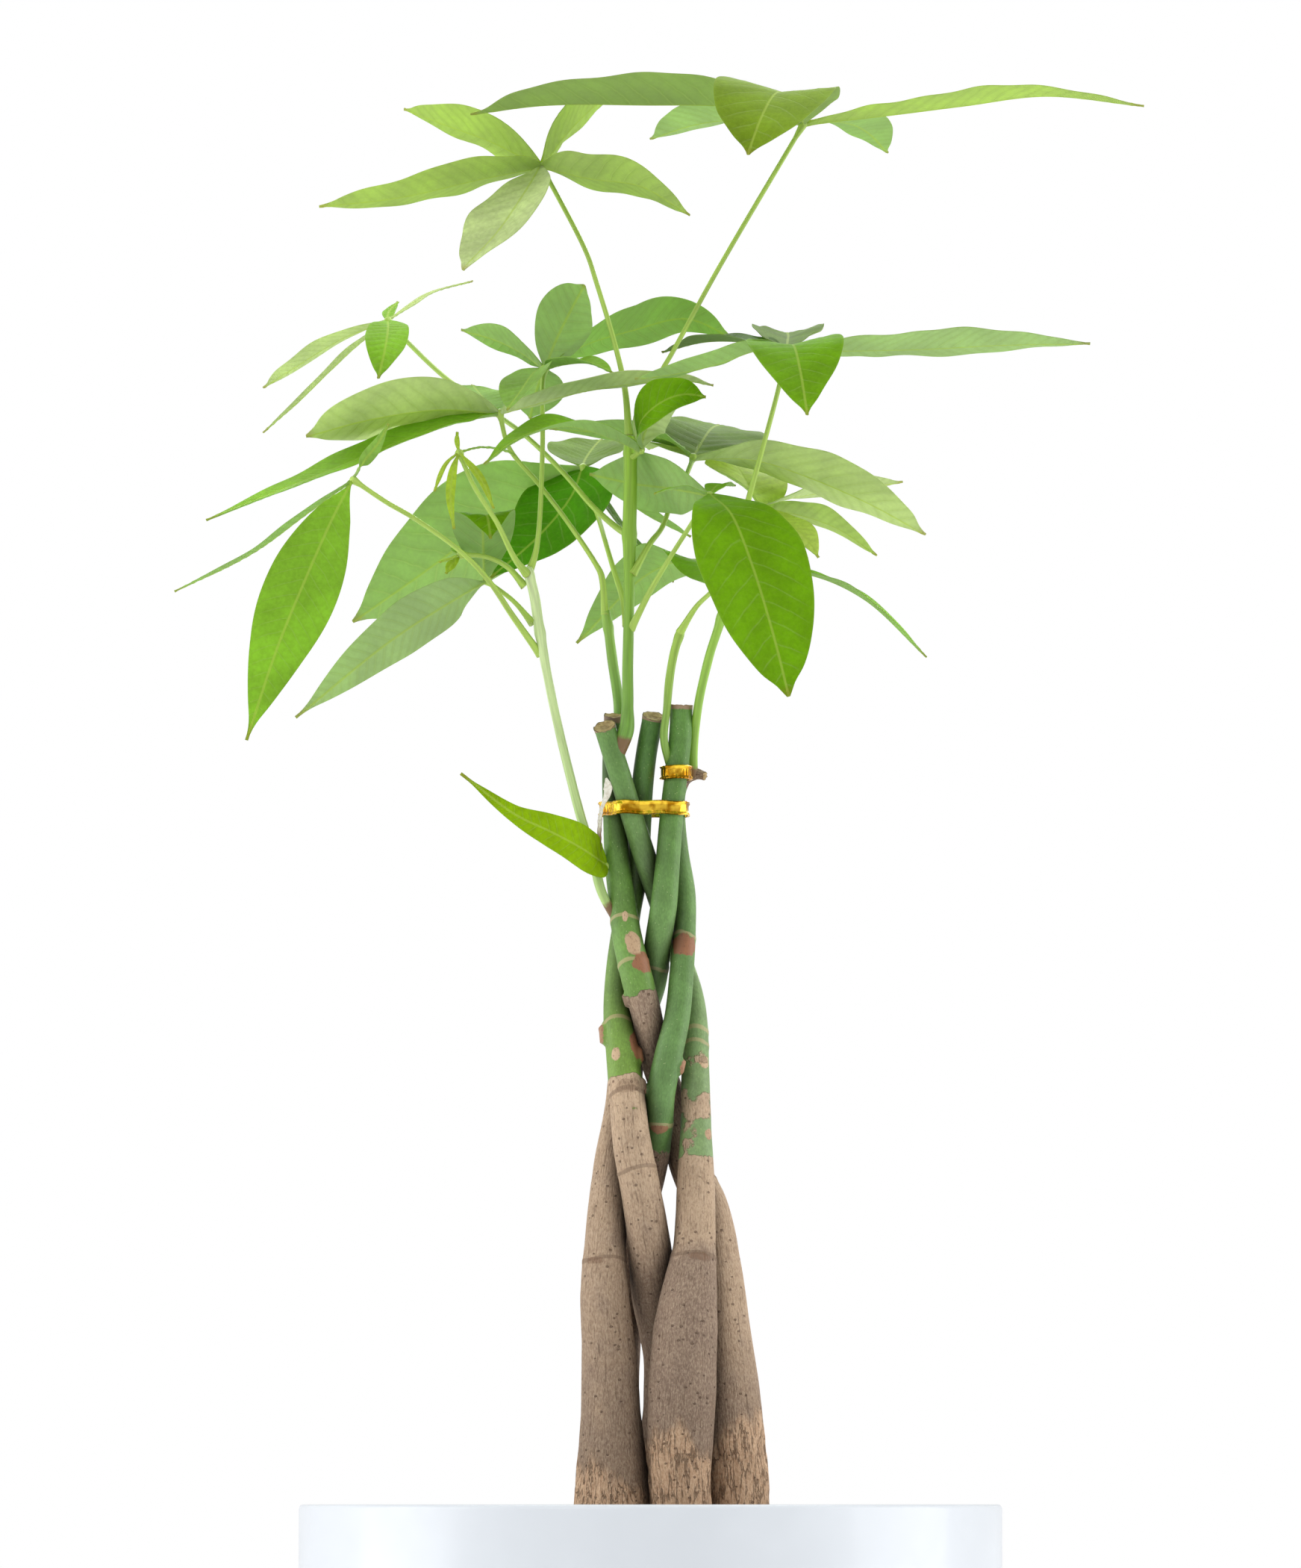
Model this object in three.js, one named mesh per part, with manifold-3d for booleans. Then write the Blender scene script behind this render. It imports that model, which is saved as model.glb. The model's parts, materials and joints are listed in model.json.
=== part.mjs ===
// Potted money tree: five braided stems with palmate leaves, in a plain cylindrical pot.
// Millimetres, +Z up. The origin is the centre of the pot's flat base, and the plant's front looks along -Y.
import * as THREE from 'three';
import { mergeVertices } from 'three/addons/utils/BufferGeometryUtils.js';
import Module from 'manifold-3d';

const wasm = await Module();
wasm.setup();

// Driving dimensions of the pot and the soil
const POT_DIAMETER = 178;
const POT_HEIGHT = 165;
const POT_WALL = 4.5;
const POT_FLOOR = 6;
const POT_SIDES = 48;
const RIM_ROUNDING = 1.2;
const FOOT_CHAMFER = 2;
const SOIL_LEVEL = 145;
const SOIL_CROWN = 3;
const SOIL_RIPPLE = 0.8;
const SOIL_LUMP = 8;
const SOIL_SIDES = 36;
const GAP = 0.3;

// Driving dimensions of the plant
const STEM_SIDES = 10;
const STEPS_PER_ROW = 2;
const SHOOT_SIDES = 7;
const STALK_SIDES = 5;
const STALK_STEPS = 8;
const STALK_BASE_RADIUS = 1.2;
const STALK_TIP_RADIUS = 0.8;
const STALK_FOOT_SHARE = 0.2;
const HUB_RADIUS = 1.3;
const BLADE_THICKNESS = 0.8;
const BLADE_STEPS = 7;
const SMALL_BLADE_STEPS = 3;
const SMALL_BLADE_WIDTH = 7;
const BLADE_BASE_WIDTH = 0.9;
const BLADE_WAVE = 0.035;
const WAVE_LENGTHS = 2.4;
const TIE_CORNERS = 28;
const TIE_THICKNESS = 0.8;
const TIE_CLEARANCE = 0.4;

// The soil's top from the wall inwards: [share of the radius, share of the crown]
const SOIL_TOP = [[0.8, 0.3], [0.55, 0.7], [0.3, 1], [0, 1]];

// Half width of a blade along its rib, as a share of its greatest half width: drawn in at the stalk,
// widest past the middle, and drawn out into a short point
const OUTLINE = [
  [0, 0.04], [0.14, 0.2], [0.29, 0.62], [0.43, 0.92], [0.57, 1], [0.71, 0.9], [0.86, 0.55], [1, 0.04],
];

// The five stems, from the foot up: [x, y, z, radius]. They cross over and under each other in the braid.
const STEMS = {
  stem_left: [
    [-9.3, -4, 112, 9.5], [-9.3, -4, 150, 10.4], [-9.3, -4, 164, 10.2], [-9.7, -4.6, 175, 9],
    [-10.1, -5.5, 188, 7.6], [-10.7, -5.5, 205, 6.7], [-11.6, -5, 218, 6.1], [-11.5, -4, 230, 5.2],
    [-9.5, -0.5, 250, 5.1], [-7.2, 2.4, 264, 4.7], [-5.6, 5.6, 279, 4.1], [-2.6, 5.2, 289, 3.8],
    [0.4, 3, 297, 3.5], [2, -1.4, 308, 3.4], [3.4, -4.2, 317, 3.4], [4.4, -4.8, 328, 3.1],
    [5.4, -3.2, 340, 3], [6.6, -2.6, 351, 2.9], [7.6, -2.2, 360, 2.9], [7.9, -2, 368, 2.8],
  ],
  stem_back: [
    [4.6, 9, 112, 7], [4.6, 9, 164, 7], [4, 7.5, 188, 6.9], [3.2, 5.6, 205, 6.4], [1.2, 2.4, 218, 6],
    [-0.2, -5, 230, 5.5], [-2.2, -8.6, 243, 5.1], [-4.7, -9.2, 256, 4.9], [-6, -7.6, 268, 4.5],
    [-7.2, -4, 279, 4.1], [-8.3, -0.2, 289, 3.7], [-7.8, 3.6, 301, 3.5], [-5.8, 5.5, 315, 3.3],
    [-3.6, 5.1, 326, 3.1], [-2.6, 2.1, 338, 2.8], [-2.2, 1, 346, 2.8], [-1, 0.6, 356, 2.7],
    [0.9, 0.5, 366, 2.7],
  ],
  stem_front: [
    [7.7, -11, 112, 7], [7.7, -11, 164, 7.5], [7.4, -10, 178, 8.2], [8, -9.6, 194, 8.7],
    [8.8, -9.5, 209, 8.2], [9.8, -9, 219, 7], [11, -8, 230, 5.4], [11.4, -5.8, 246, 4.8],
    [11.5, -2.2, 260, 3.9], [11.4, 0, 275, 3.5], [11.4, 2.4, 287, 3.1], [10.6, 4.6, 294, 2.9],
    [8.6, 7, 301, 2.8], [5.6, 8, 309, 2.9], [2.2, 4.9, 319, 3], [-1.1, -2, 328, 2.9], [-4.3, -4.2, 338, 2.8],
    [-7, -5.6, 347, 2.8], [-9.5, -6, 355, 2.75], [-12, -6, 363, 2.75],
  ],
  stem_right: [
    [21.6, 2, 112, 8], [21.6, 2, 164, 8.6], [20.8, 2.2, 177, 8.5], [19.6, 3, 195, 7.9],
    [18.2, 3.4, 209, 7.2], [16.8, 3.5, 226, 6.2], [14.4, 4.4, 240, 5.5], [10, 6.6, 250, 4.9],
    [7.4, 7.4, 258, 4.5], [5.2, 5.6, 267, 4.2], [0.9, 0.2, 279, 3.9], [-0.8, -3.4, 288, 3.9],
    [-3.2, -5, 297, 4.1], [-5.8, -3.8, 308, 3.8], [-7.2, -1.6, 318, 3.4], [-8.4, 0, 328, 3.2],
    [-9.1, 0, 339, 2.9], [-9.6, -0.2, 351, 2.7], [-9, 0.4, 366, 2.7],
  ],
  stem_hidden: [
    [-9, 13.6, 112, 6.4], [-9, 13.6, 164, 6.5], [-9, 12.4, 190, 6], [-7.8, 12.8, 209, 5.6],
    [-5.6, 12, 218, 5.4], [-4.6, 7.8, 230, 5], [-3, 6.2, 240, 4.7], [-0.4, 5.4, 249, 4.3],
    [1.6, -2, 260, 4], [2.6, -6.2, 269, 3.7], [4.7, -7.6, 279, 3.6], [6.7, -6, 288, 3.3],
    [7.9, -2.6, 300, 3.1], [8.5, 1, 311, 3], [8.4, 2.6, 320, 3], [6.7, 3.4, 331, 2.9],
    [5.8, 4, 341, 2.8], [10.8, 3.4, 351, 2.4], [11.6, 2.8, 355, 2.2],
  ],
};

// The shoots that grow from the stems, from the stem up: [x, y, z, radius], swollen at their nodes
const SHOOTS = {
  shoot_tall: [
    [-8.5, -6, 355, 2], [-6.2, -6.5, 361, 2], [-5.8, -6, 367, 1.5], [-5.8, -5, 376, 1.4],
    [-5.6, -4, 387, 1.35], [-5.4, -3, 401, 1.4], [-5.4, -3.5, 411, 1.8], [-5.2, -4, 422, 1.75],
    [-5.2, -4, 432, 1.7], [-5.4, -3.5, 436, 1.4],
  ],
  shoot_left: [
    [-8, -2, 312, 1.2], [-12.4, -4, 320, 1.2], [-14.5, -4, 328.5, 1.3], [-17.7, -5, 339, 1.2],
    [-22.3, -5, 357, 1.15], [-26, -4, 374, 1.1], [-28.2, -4, 386.5, 1.3], [-29.5, -4, 395, 1.3],
    [-31.3, -4, 402.5, 1.2],
  ],
  shoot_short: [
    [-8, 2, 361, 1.4], [-8.2, 4, 369, 1.3], [-9.8, 2, 380, 1.3], [-10.8, 1, 388, 1.2], [-11.5, 0, 392, 1.2],
  ],
  shoot_middle: [
    [5, -2, 352, 1], [3.4, -5.4, 359, 1], [4.1, -4.5, 366, 1], [4.8, -4, 374, 1.1], [6, -5, 381, 1.1],
    [7.7, -6, 386.5, 1],
  ],
  shoot_right: [
    [10.9, 2.6, 350, 1.2], [10.9, 0.8, 357, 1.2], [12.2, -4.4, 368, 1.1], [15, -9, 380, 1.1],
    [18, -11, 389.5, 1.15], [21.5, -13, 405, 1.2],
  ],
};

// The leaves: a stalk from its shoot to its hub, and leaflets that spread from the hub. Each leaflet has the
// points of its rib, its greatest width, the way its upper face looks, and the angle its halves fold up by.
const LEAVES = {
  leaf_crown_right: {
    stalk: [[-4.5, -3.5, 432], [-2, -3, 441], [3, -1.5, 453.5], [5.5, -0.5, 458], [17.5, 4, 480.5],
            [39.5, 8, 518.5]],
    leaflets: [
      { rib: [[39.5, 8, 518.5], [21.5, 2, 522], [-2, -2, 522], [-27, -4, 521.5], [-46, -4, 519]],
        width: 28, face: [0, 0, 1], fold: 26 },
      { rib: [[39.5, 8, 518.5], [36.5, -8, 522], [32, -24, 521.5], [27.5, -40, 512], [24.5, -45, 503]],
        width: 35, face: [-0.25, -0.5, 0.85], fold: 10 },
      { rib: [[39.5, 8, 518.5], [59, 4, 520], [80, 0, 522], [101, -3, 524], [126, -5, 521]],
        width: 22, face: [0, 0, 1], fold: 11 },
      { rib: [[39.5, 8, 518.5], [25, 28, 522.5], [11.5, 42, 523], [0, 52, 520.5]],
        width: 20, face: [0, 0.2, 1], fold: 14 },
      { rib: [[39.5, 8, 518.5], [50, 30, 522], [57, 48, 521.5], [62, 60, 518]],
        width: 19, face: [0, 0.2, 1], fold: 12 },
    ],
  },
  leaf_crown_left: {
    stalk: [[-5.5, -3, 436.5], [-6.5, -2, 448.5], [-9, 0, 460], [-14, 2, 477], [-16.5, 3, 484.5],
            [-28, 5, 507]],
    leaflets: [
      { rib: [[-28, 5, 507], [-40.5, 10, 514], [-52, 16, 519], [-63.5, 22, 524]],
        width: 21, face: [-0.1, 0.5, 0.9], fold: 10 },
      { rib: [[-28, 5, 507], [-22, 14, 516.5], [-14, 26, 526], [-5, 38, 533.5]],
        width: 20, face: [-0.4, 0.6, 0.8], fold: 10 },
      { rib: [[-28, 5, 507], [-44, 0, 503], [-63, -4, 498], [-84.5, -6, 495]],
        width: 20, face: [0, 0.32, 0.95], fold: 10 },
      { rib: [[-28, 5, 507], [-15.5, -2, 503], [-2, -8, 500], [10, -12, 492]],
        width: 21, face: [0, 0.42, 0.9], fold: 10 },
      { rib: [[-28, 5, 507], [-32.5, -8, 497.5], [-39, -18, 486.5], [-47.5, -24, 476.5]],
        width: 22, face: [-0.3, -0.4, 0.8], fold: 14 },
    ],
  },
  leaf_back_left: {
    stalk: [[-5.5, -2, 411.5], [-8, 1, 413], [-14.5, 5, 419], [-22, 9, 428], [-31.5, 15, 438],
            [-42.5, 24, 447], [-53.5, 34, 456], [-64, 44, 467], [-68.5, 50, 472.5]],
    leaflets: [
      { rib: [[-68.5, 50, 472.5], [-80, 56, 469], [-92, 62, 462.5], [-101.5, 68, 457]],
        width: 13, face: [0.2, -0.1, 1], fold: 10 },
      { rib: [[-68.5, 50, 472.5], [-78, 44, 464], [-89, 36, 452], [-100, 30, 441]],
        width: 10, face: [-0.7, 0.12, 0.7], fold: 10 },
      { rib: [[-68.5, 50, 472.5], [-68, 38, 469], [-68.5, 26, 462], [-70, 20, 454]],
        width: 14, face: [0, -0.6, 0.8], fold: 12 },
      { rib: [[-68.5, 50, 472.5], [-63, 60, 477.5], [-57, 70, 482.5], [-47, 80, 486.5]],
        width: 5, face: [0, 0, 1], fold: 10 },
      { rib: [[-68.5, 50, 472.5], [-68.5, 62, 476], [-66.5, 76, 480.5]],
        width: 6, face: [0, 0.2, 1], fold: 10 },
    ],
  },
  leaf_left_upper: {
    stalk: [[-11.5, 0, 391], [-12.5, 0, 401], [-14, -1, 404], [-21, -1, 414.5], [-28.5, 0, 424.5],
            [-36, -2, 433.5], [-38.5, -4, 442.5]],
    leaflets: [
      { rib: [[-38.5, -4, 442.5], [-53.5, -8, 443], [-71.5, -11, 440], [-87.5, -12, 435.5]],
        width: 21, face: [0, 0.5, 0.87], fold: 10 },
      { rib: [[-38.5, -4, 442.5], [-51.5, -9, 439], [-80, -14, 427], [-112.5, -18, 413.5]],
        width: 19, face: [-0.1, -0.15, 1], fold: 10 },
      { rib: [[-38.5, -4, 442.5], [-32.5, -8.5, 443.5], [-21, -10.5, 446.5], [-6, -12, 449],
            [7.5, -12, 450], [16, -12, 448.5]],
        width: 15, face: [0, -0.05, 1], fold: 10 },
      { rib: [[-38.5, -4, 442.5], [-42, 8, 446.5], [-44.5, 20, 450.5], [-46, 28, 453]],
        width: 13, face: [0, 0.3, 1], fold: 10 },
    ],
  },
  leaf_right_upper: {
    stalk: [[21.5, -13, 405], [25, -17, 419.5], [28.5, -19, 432], [32.5, -21, 447], [34.5, -22, 456.5]],
    leaflets: [
      { rib: [[34.5, -22, 456.5], [36, -34, 456], [37.5, -50, 447.5], [39, -62, 435.5]],
        width: 23, face: [0, -0.55, 0.8], fold: 12 },
      { rib: [[34.5, -22, 456.5], [52.5, -18, 457], [70, -12, 458], [91, -8, 459.5], [112, -5, 460]],
        width: 20, face: [0, 0.25, 1], fold: 8 },
      { rib: [[34.5, -22, 456.5], [35, 0, 461], [35.5, 22, 465], [35.5, 40, 468]],
        width: 20, face: [0, 0, 1], fold: 22 },
      { rib: [[34.5, -22, 456.5], [24.5, -6, 460.5], [13, 8, 462], [3, 14, 460]],
        width: 13, face: [0, 0.1, 1], fold: 14 },
      { rib: [[34.5, -22, 456.5], [27, -27, 456], [16.5, -30, 452], [6.5, -31, 449.5], [-4, -31, 448]],
        width: 15, face: [0, -0.05, 1], fold: 12 },
    ],
  },
  leaf_centre_upper: {
    stalk: [[-31, -3, 401.5], [-29.5, -4, 405.5], [-28.5, -4, 411.5], [-27.5, -4, 433.5],
            [-27.5, -3, 450], [-27, -2, 454]],
    leaflets: [
      { rib: [[-27, -2, 454], [-24, 6, 461], [-20, 14, 469], [-17, 20, 478]],
        width: 21, face: [-0.5, 0.75, 0.3], fold: 6 },
      { rib: [[-27, -2, 454], [-32.5, 3, 458.5], [-39.5, 8, 462.5], [-48.5, 12, 465.5]],
        width: 13, face: [-0.2, 0.6, 0.8], fold: 8 },
      { rib: [[-27, -2, 454], [-18, 12, 461.5], [-5, 20, 466.5], [9.5, 24, 470], [21, 24, 465]],
        width: 18, face: [0, 0.55, 0.83], fold: 6 },
      { rib: [[-27, -2, 454], [-22, -8, 454.5], [-15.5, -14, 454], [-9.5, -18, 451]],
        width: 12, face: [0, -0.1, 1], fold: 14 },
      { rib: [[-27, -2, 454], [-29.5, -14, 451.5], [-33, -26, 445], [-36, -32, 440]],
        width: 13, face: [-0.3, -0.3, 0.9], fold: 20 },
      { rib: [[-27, -2, 454], [-28.5, 10, 452], [-30, 17, 448], [-31, 20, 443.5]],
        width: 15, face: [0, 0.95, 0.3], fold: 8 },
    ],
  },
  leaf_shoot_tip: {
    stalk: [[-5, -4, 431], [-4, -7, 431], [-2.5, -12, 432]],
    leaflets: [
      { rib: [[-2.5, -12, 432], [-9.5, -18, 434.5], [-21, -24, 437], [-32.5, -28, 433.5],
            [-42, -30, 426.5]],
        width: 17, face: [0, -0.2, 1], fold: 14 },
      { rib: [[-2.5, -12, 432], [-2.5, -20, 438], [2.5, -24, 442.5], [8, -25, 444.5], [14, -25, 444]],
        width: 14, face: [-0.5, -0.75, 0.5], fold: 16 },
      { rib: [[-2.5, -12, 432], [-0.5, -10, 438.5], [3.5, -7, 443.5], [9, -5, 446.5]],
        width: 10, face: [0.3, 0.7, 0.6], fold: 8 },
    ],
  },
  leaf_centre_back: {
    stalk: [[-6, -2, 388], [-7, 1, 395], [-9, 3, 401.5], [-11, 6, 408.5], [-13.5, 18, 418],
            [-16, 30, 425.5], [-17.5, 34, 432.5]],
    leaflets: [
      { rib: [[-17.5, 34, 432.5], [-26, 36, 425.5], [-43.5, 38, 416.5], [-61, 38, 404], [-77, 36, 392.5]],
        width: 35, face: [-0.35, 0.75, 0.55], fold: 8 },
      { rib: [[-17.5, 34, 432.5], [-20.5, 28, 424], [-29, 22, 413], [-41, 16, 402]],
        width: 27, face: [-0.4, -0.85, 0.3], fold: 8 },
      { rib: [[-17.5, 34, 432.5], [-10, 36, 427], [-0.5, 38, 420.5], [10.5, 40, 415]],
        width: 14, face: [0, 0, 1], fold: 12 },
      { rib: [[-17.5, 34, 432.5], [-14, 40, 426.5], [-6, 44, 416], [6, 44, 403.5]],
        width: 8, face: [0.5, -0.3, 0.8], fold: 10 },
      { rib: [[-17.5, 34, 432.5], [-17, 50, 436], [-15, 68, 441], [-13, 84, 445]],
        width: 22, face: [0, 0.1, 1], fold: 16 },
    ],
  },
  leaf_left_lower: {
    stalk: [[-30, -4, 388.5], [-35, -1, 394.5], [-42, 2, 400]],
    leaflets: [
      { rib: [[-42, 2, 400], [-49.5, -4, 395], [-66.5, -8, 383.5], [-90, -10, 364]],
        width: 15.5, face: [-0.3, 0.8, 0.5], fold: 8 },
      { rib: [[-42, 2, 400], [-42.5, -2, 407.5], [-42.5, -8, 414.5], [-41.5, -13, 415],
            [-40.5, -16, 409]],
        width: 17, face: [0, -0.3, 0.95], fold: 10 },
    ],
  },
  leaf_bud_left: {
    stalk: [[-32, -3, 398], [-36.5, -3, 403], [-42, -4, 405.5], [-48.5, -4, 406]],
    leaflets: [
      { rib: [[-48.5, -4, 406], [-51.5, -7, 404.5], [-53.5, -10, 403.5]],
        width: 3, face: [0, 0, 1], fold: 8 },
      { rib: [[-48.5, -4, 406], [-50.5, -5, 403.5], [-52, -6, 401]],
        width: 3, face: [0, -0.5, 0.8], fold: 8 },
      { rib: [[-48.5, -4, 406], [-49.5, 0, 407.5], [-50, 4, 409]],
        width: 3, face: [0, 0.2, 1], fold: 8 },
    ],
  },
  leaf_young_left: {
    stalk: [[-31.5, -5, 401], [-34.5, -10, 404.5], [-39, -18, 413], [-44.5, -21, 421.5],
            [-48.5, -20, 430.5]],
    leaflets: [
      { rib: [[-48.5, -20, 430.5], [-51.5, -23, 427.5], [-53.5, -25, 423], [-54.5, -26, 420]],
        width: 3.5, face: [-0.5, -0.6, 0.6], fold: 14 },
      { rib: [[-48.5, -20, 430.5], [-50, -26, 424.5], [-50.5, -29, 417.5], [-49.5, -30, 410]],
        width: 5, face: [0.2, -0.9, 0.3], fold: 18 },
      { rib: [[-48.5, -20, 430.5], [-45, -26, 426], [-42, -30, 421], [-39.5, -32, 415]],
        width: 6, face: [0.4, -0.7, 0.5], fold: 18 },
      { rib: [[-48.5, -20, 430.5], [-49, -18, 433.5], [-49, -16, 436]],
        width: 4, face: [0, -0.9, 0.3], fold: 18 },
      { rib: [[-48.5, -20, 430.5], [-43, -18, 432], [-37, -15, 431.5], [-34.5, -13, 430.5]],
        width: 3.5, face: [0, 0, 1], fold: 12 },
    ],
  },
  leaf_right_middle: {
    stalk: [[-4.5, -4, 401], [-0.5, -2, 408.5], [3, 5, 414], [5.5, 10, 421], [8.5, 6, 426],
            [11, -4, 431]],
    leaflets: [
      { rib: [[11, -4, 431], [26.5, 0, 431], [41.5, 4, 426.5], [57, 8, 420], [70.5, 14, 413]],
        width: 20, face: [0, 0.27, 0.96], fold: 10 },
      { rib: [[11, -4, 431], [14, 14, 438], [16, 34, 442.5], [18, 54, 445.5]],
        width: 29, face: [0.2, 0.15, 1], fold: 5 },
      { rib: [[11, -4, 431], [4.5, 4, 436.5], [-8, 12, 439], [-26, 16, 440.5]],
        width: 13, face: [0, 0.4, 0.9], fold: 8 },
      { rib: [[11, -4, 431], [6.5, 10, 435], [2.5, 22, 437], [-0.5, 32, 437]],
        width: 14, face: [-0.1, -0.1, 1], fold: 14 },
    ],
  },
  leaf_front_hanging: {
    stalk: [[-5, -4, 387], [0.5, -12, 397], [5.5, -16, 405], [10.5, -20, 412.5], [15, -22, 419.5]],
    leaflets: [
      { rib: [[15, -22, 419.5], [20.5, -38, 412.5], [25.5, -46, 399], [30.5, -50, 382], [34.5, -50, 366]],
        width: 28.5, face: [0.25, -0.95, 0.3], fold: 6 },
      { rib: [[15, -22, 419.5], [5.5, -10, 422.5], [-4.5, 7, 425.5], [-15.5, 14, 428.5]],
        width: 18, face: [0.3, 0.85, 0.5], fold: 8 },
      { rib: [[15, -22, 419.5], [10, -24, 420.5], [5.5, -27, 420.5], [1, -30, 419]],
        width: 5, face: [0, 0, 1], fold: 14 },
      { rib: [[15, -22, 419.5], [17, -10, 423], [21.5, 8, 425]],
        width: 6, face: [0, 0, 1], fold: 14 },
    ],
  },
  leaf_right_lower: {
    stalk: [[20.5, -10, 400.5], [23.5, -2, 411.5], [28.5, 4, 419]],
    leaflets: [
      { rib: [[28.5, 4, 419], [36, 22, 423.5], [50, 42, 427.5], [65.5, 52, 430.5]],
        width: 15, face: [0, 0.45, 0.9], fold: 10 },
      { rib: [[28.5, 4, 419], [39.5, 0, 416.5], [48.5, -4, 412.5], [57.5, -8, 405.5]],
        width: 11.5, face: [0, 0.4, 0.9], fold: 10 },
      { rib: [[28.5, 4, 419], [33.5, -6, 414.5], [38.5, -14, 410], [42.5, -18, 404]],
        width: 10, face: [0, -0.2, 0.95], fold: 12 },
      { rib: [[28.5, 4, 419], [25.5, 12, 424.5], [23, 26, 430.5], [20, 36, 435.5]],
        width: 22, face: [0, 0.6, 0.8], fold: 10 },
    ],
  },
  leaf_behind: {
    stalk: [[7.5, -6, 386], [11.5, -10, 392], [15, -16, 395], [16.5, -20, 396.5]],
    leaflets: [
      { rib: [[16.5, -20, 396.5], [10, 2, 405.5], [-2, 18, 402.5], [-19, 30, 386.5]],
        width: 19, face: [-0.3, 0.75, 0.6], fold: 8 },
      { rib: [[16.5, -20, 396.5], [19.5, -24, 390], [25.5, -28, 382.5], [32.5, -30, 372.5]],
        width: 13, face: [-0.2, -0.9, 0.3], fold: 8 },
      { rib: [[16.5, -20, 396.5], [30, -20, 400.5], [41.5, -18, 399.5], [54.5, -16, 393.5],
            [70, -14, 379]],
        width: 12, face: [0.1, 0, 1], fold: 10 },
    ],
  },
  leaf_left_hanging: {
    stalk: [[-28, -3, 380.5], [-35, -8, 390], [-41, -13, 398.5], [-48, -17, 405.5], [-60, -24, 413.5],
            [-66.5, -27, 417], [-75, -30, 422.5]],
    leaflets: [
      { rib: [[-75, -30, 422.5], [-79.5, -36, 413], [-86, -41, 397.5], [-93.5, -44, 378.5],
            [-101, -45, 355.5]],
        width: 17.5, face: [0.3, -0.9, 0.3], fold: 6 },
      { rib: [[-75, -30, 422.5], [-85, -29, 415.5], [-100, -28, 404.5], [-120, -27, 394.5]],
        width: 10, face: [-0.3, 0.1, 1], fold: 10 },
      { rib: [[-75, -30, 422.5], [-72.5, -32, 426.5], [-69, -32, 431], [-66, -31, 436.5]],
        width: 7, face: [0.6, -0.3, 0.6], fold: 12 },
    ],
  },
  leaf_single_low: {
    stalk: [[-8, 0, 325], [-9.5, -5, 325], [-11.5, -9, 326.5]],
    leaflets: [
      { rib: [[-11.5, -9, 326.5], [-18, -15, 329], [-29.5, -19, 334], [-48, -20, 348]],
        width: 13, face: [0.1, -0.7, 0.7], fold: 10 },
    ],
  },
};

// The foil ties round the stems, and the paper end that hangs from the lower one
const TIES = {
  tie_lower: {
    stems: ['stem_left', 'stem_back', 'stem_front', 'stem_right', 'stem_hidden'], low: 339.5, high: 343.2,
  },
  tie_upper: { stems: ['stem_left'], low: 348.6, high: 352.3 },
};
const TIE_TAIL = {
  rib: [[-8.6, -9.6, 350], [-11.5, -9, 345.5], [-14.4, -6, 341], [-15, -3.5, 336], [-13.6, -2.6, 329.5]],
  width: 3, face: [-0.5, -1, 0], fold: 4,
};

// Every blade, stem and ring becomes a solid, so that pieces can be joined and cut
function solidOf(geometry) {
  const bare = geometry.clone();
  bare.deleteAttribute('normal');
  bare.deleteAttribute('uv');
  const merged = mergeVertices(bare, 1e-4);
  return new wasm.Manifold(new wasm.Mesh({
    numProp: 3,
    vertProperties: new Float32Array(merged.attributes.position.array),
    triVerts: new Uint32Array(merged.index.array),
  }));
}

function geometryOf(solid) {
  const mesh = solid.getMesh();
  const geometry = new THREE.BufferGeometry();
  geometry.setAttribute('position', new THREE.BufferAttribute(mesh.vertProperties, 3));
  geometry.setIndex(new THREE.BufferAttribute(mesh.triVerts, 1));
  return geometry;
}

function joined(solids) {
  return solids.reduce((whole, piece) => whole.add(piece));
}

// What is left of a solid beside others; a scrap cut off on their far side is dropped
function cutClear(solid, others) {
  const rest = others.reduce((left, other) => left.subtract(other), solid);
  return rest.decompose().reduce((best, body) => (body.volume() > best.volume() ? body : best));
}

const vector = ([x, y, z]) => new THREE.Vector3(x, y, z);

function curveThrough(points) {
  return new THREE.CatmullRomCurve3(points.map(vector), false, 'centripetal');
}

// A value read off a list of [place, value] rows, with straight lines between them
function readOff(rows, place) {
  const next = Math.max(1, rows.findIndex((row) => row[0] >= place));
  const [from, to] = [rows[next - 1], rows[next]];
  return THREE.MathUtils.mapLinear(place, from[0], to[0], from[1], to[1]);
}

// A closed cylinder bent along a curve, its radius following the list of radii
function rod(points, radii, sides, steps, grow = 0) {
  const curve = curveThrough(points);
  const frames = curve.computeFrenetFrames(steps);
  const geometry = new THREE.CylinderGeometry(1, 1, steps, sides, steps);
  const position = geometry.attributes.position;
  const across = new THREE.Vector3();
  const place = new THREE.Vector3();
  for (let i = 0; i < position.count; i += 1) {
    const step = Math.round(position.getY(i) + steps / 2);
    const along = step / steps;
    const radius = readOff(radii, along) + grow;
    curve.getPoint(along, place);
    across.copy(frames.normals[step]).multiplyScalar(position.getX(i) * radius);
    place.add(across);
    across.copy(frames.binormals[step]).multiplyScalar(-position.getZ(i) * radius);
    place.add(across);
    position.setXYZ(i, place.x, place.y, place.z);
  }
  return solidOf(geometry);
}

// A stem or shoot whose rows are [x, y, z, radius]
function woodyRod(rows, sides, grow = 0) {
  const radii = rows.map((row, i) => [i / (rows.length - 1), row[3]]);
  return rod(rows, radii, sides, (rows.length - 1) * STEPS_PER_ROW, grow);
}

function stalkRod(points) {
  const radii = [[0, STALK_BASE_RADIUS], [STALK_FOOT_SHARE, STALK_TIP_RADIUS], [1, STALK_TIP_RADIUS]];
  return rod(points, radii, STALK_SIDES, STALK_STEPS);
}

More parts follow.
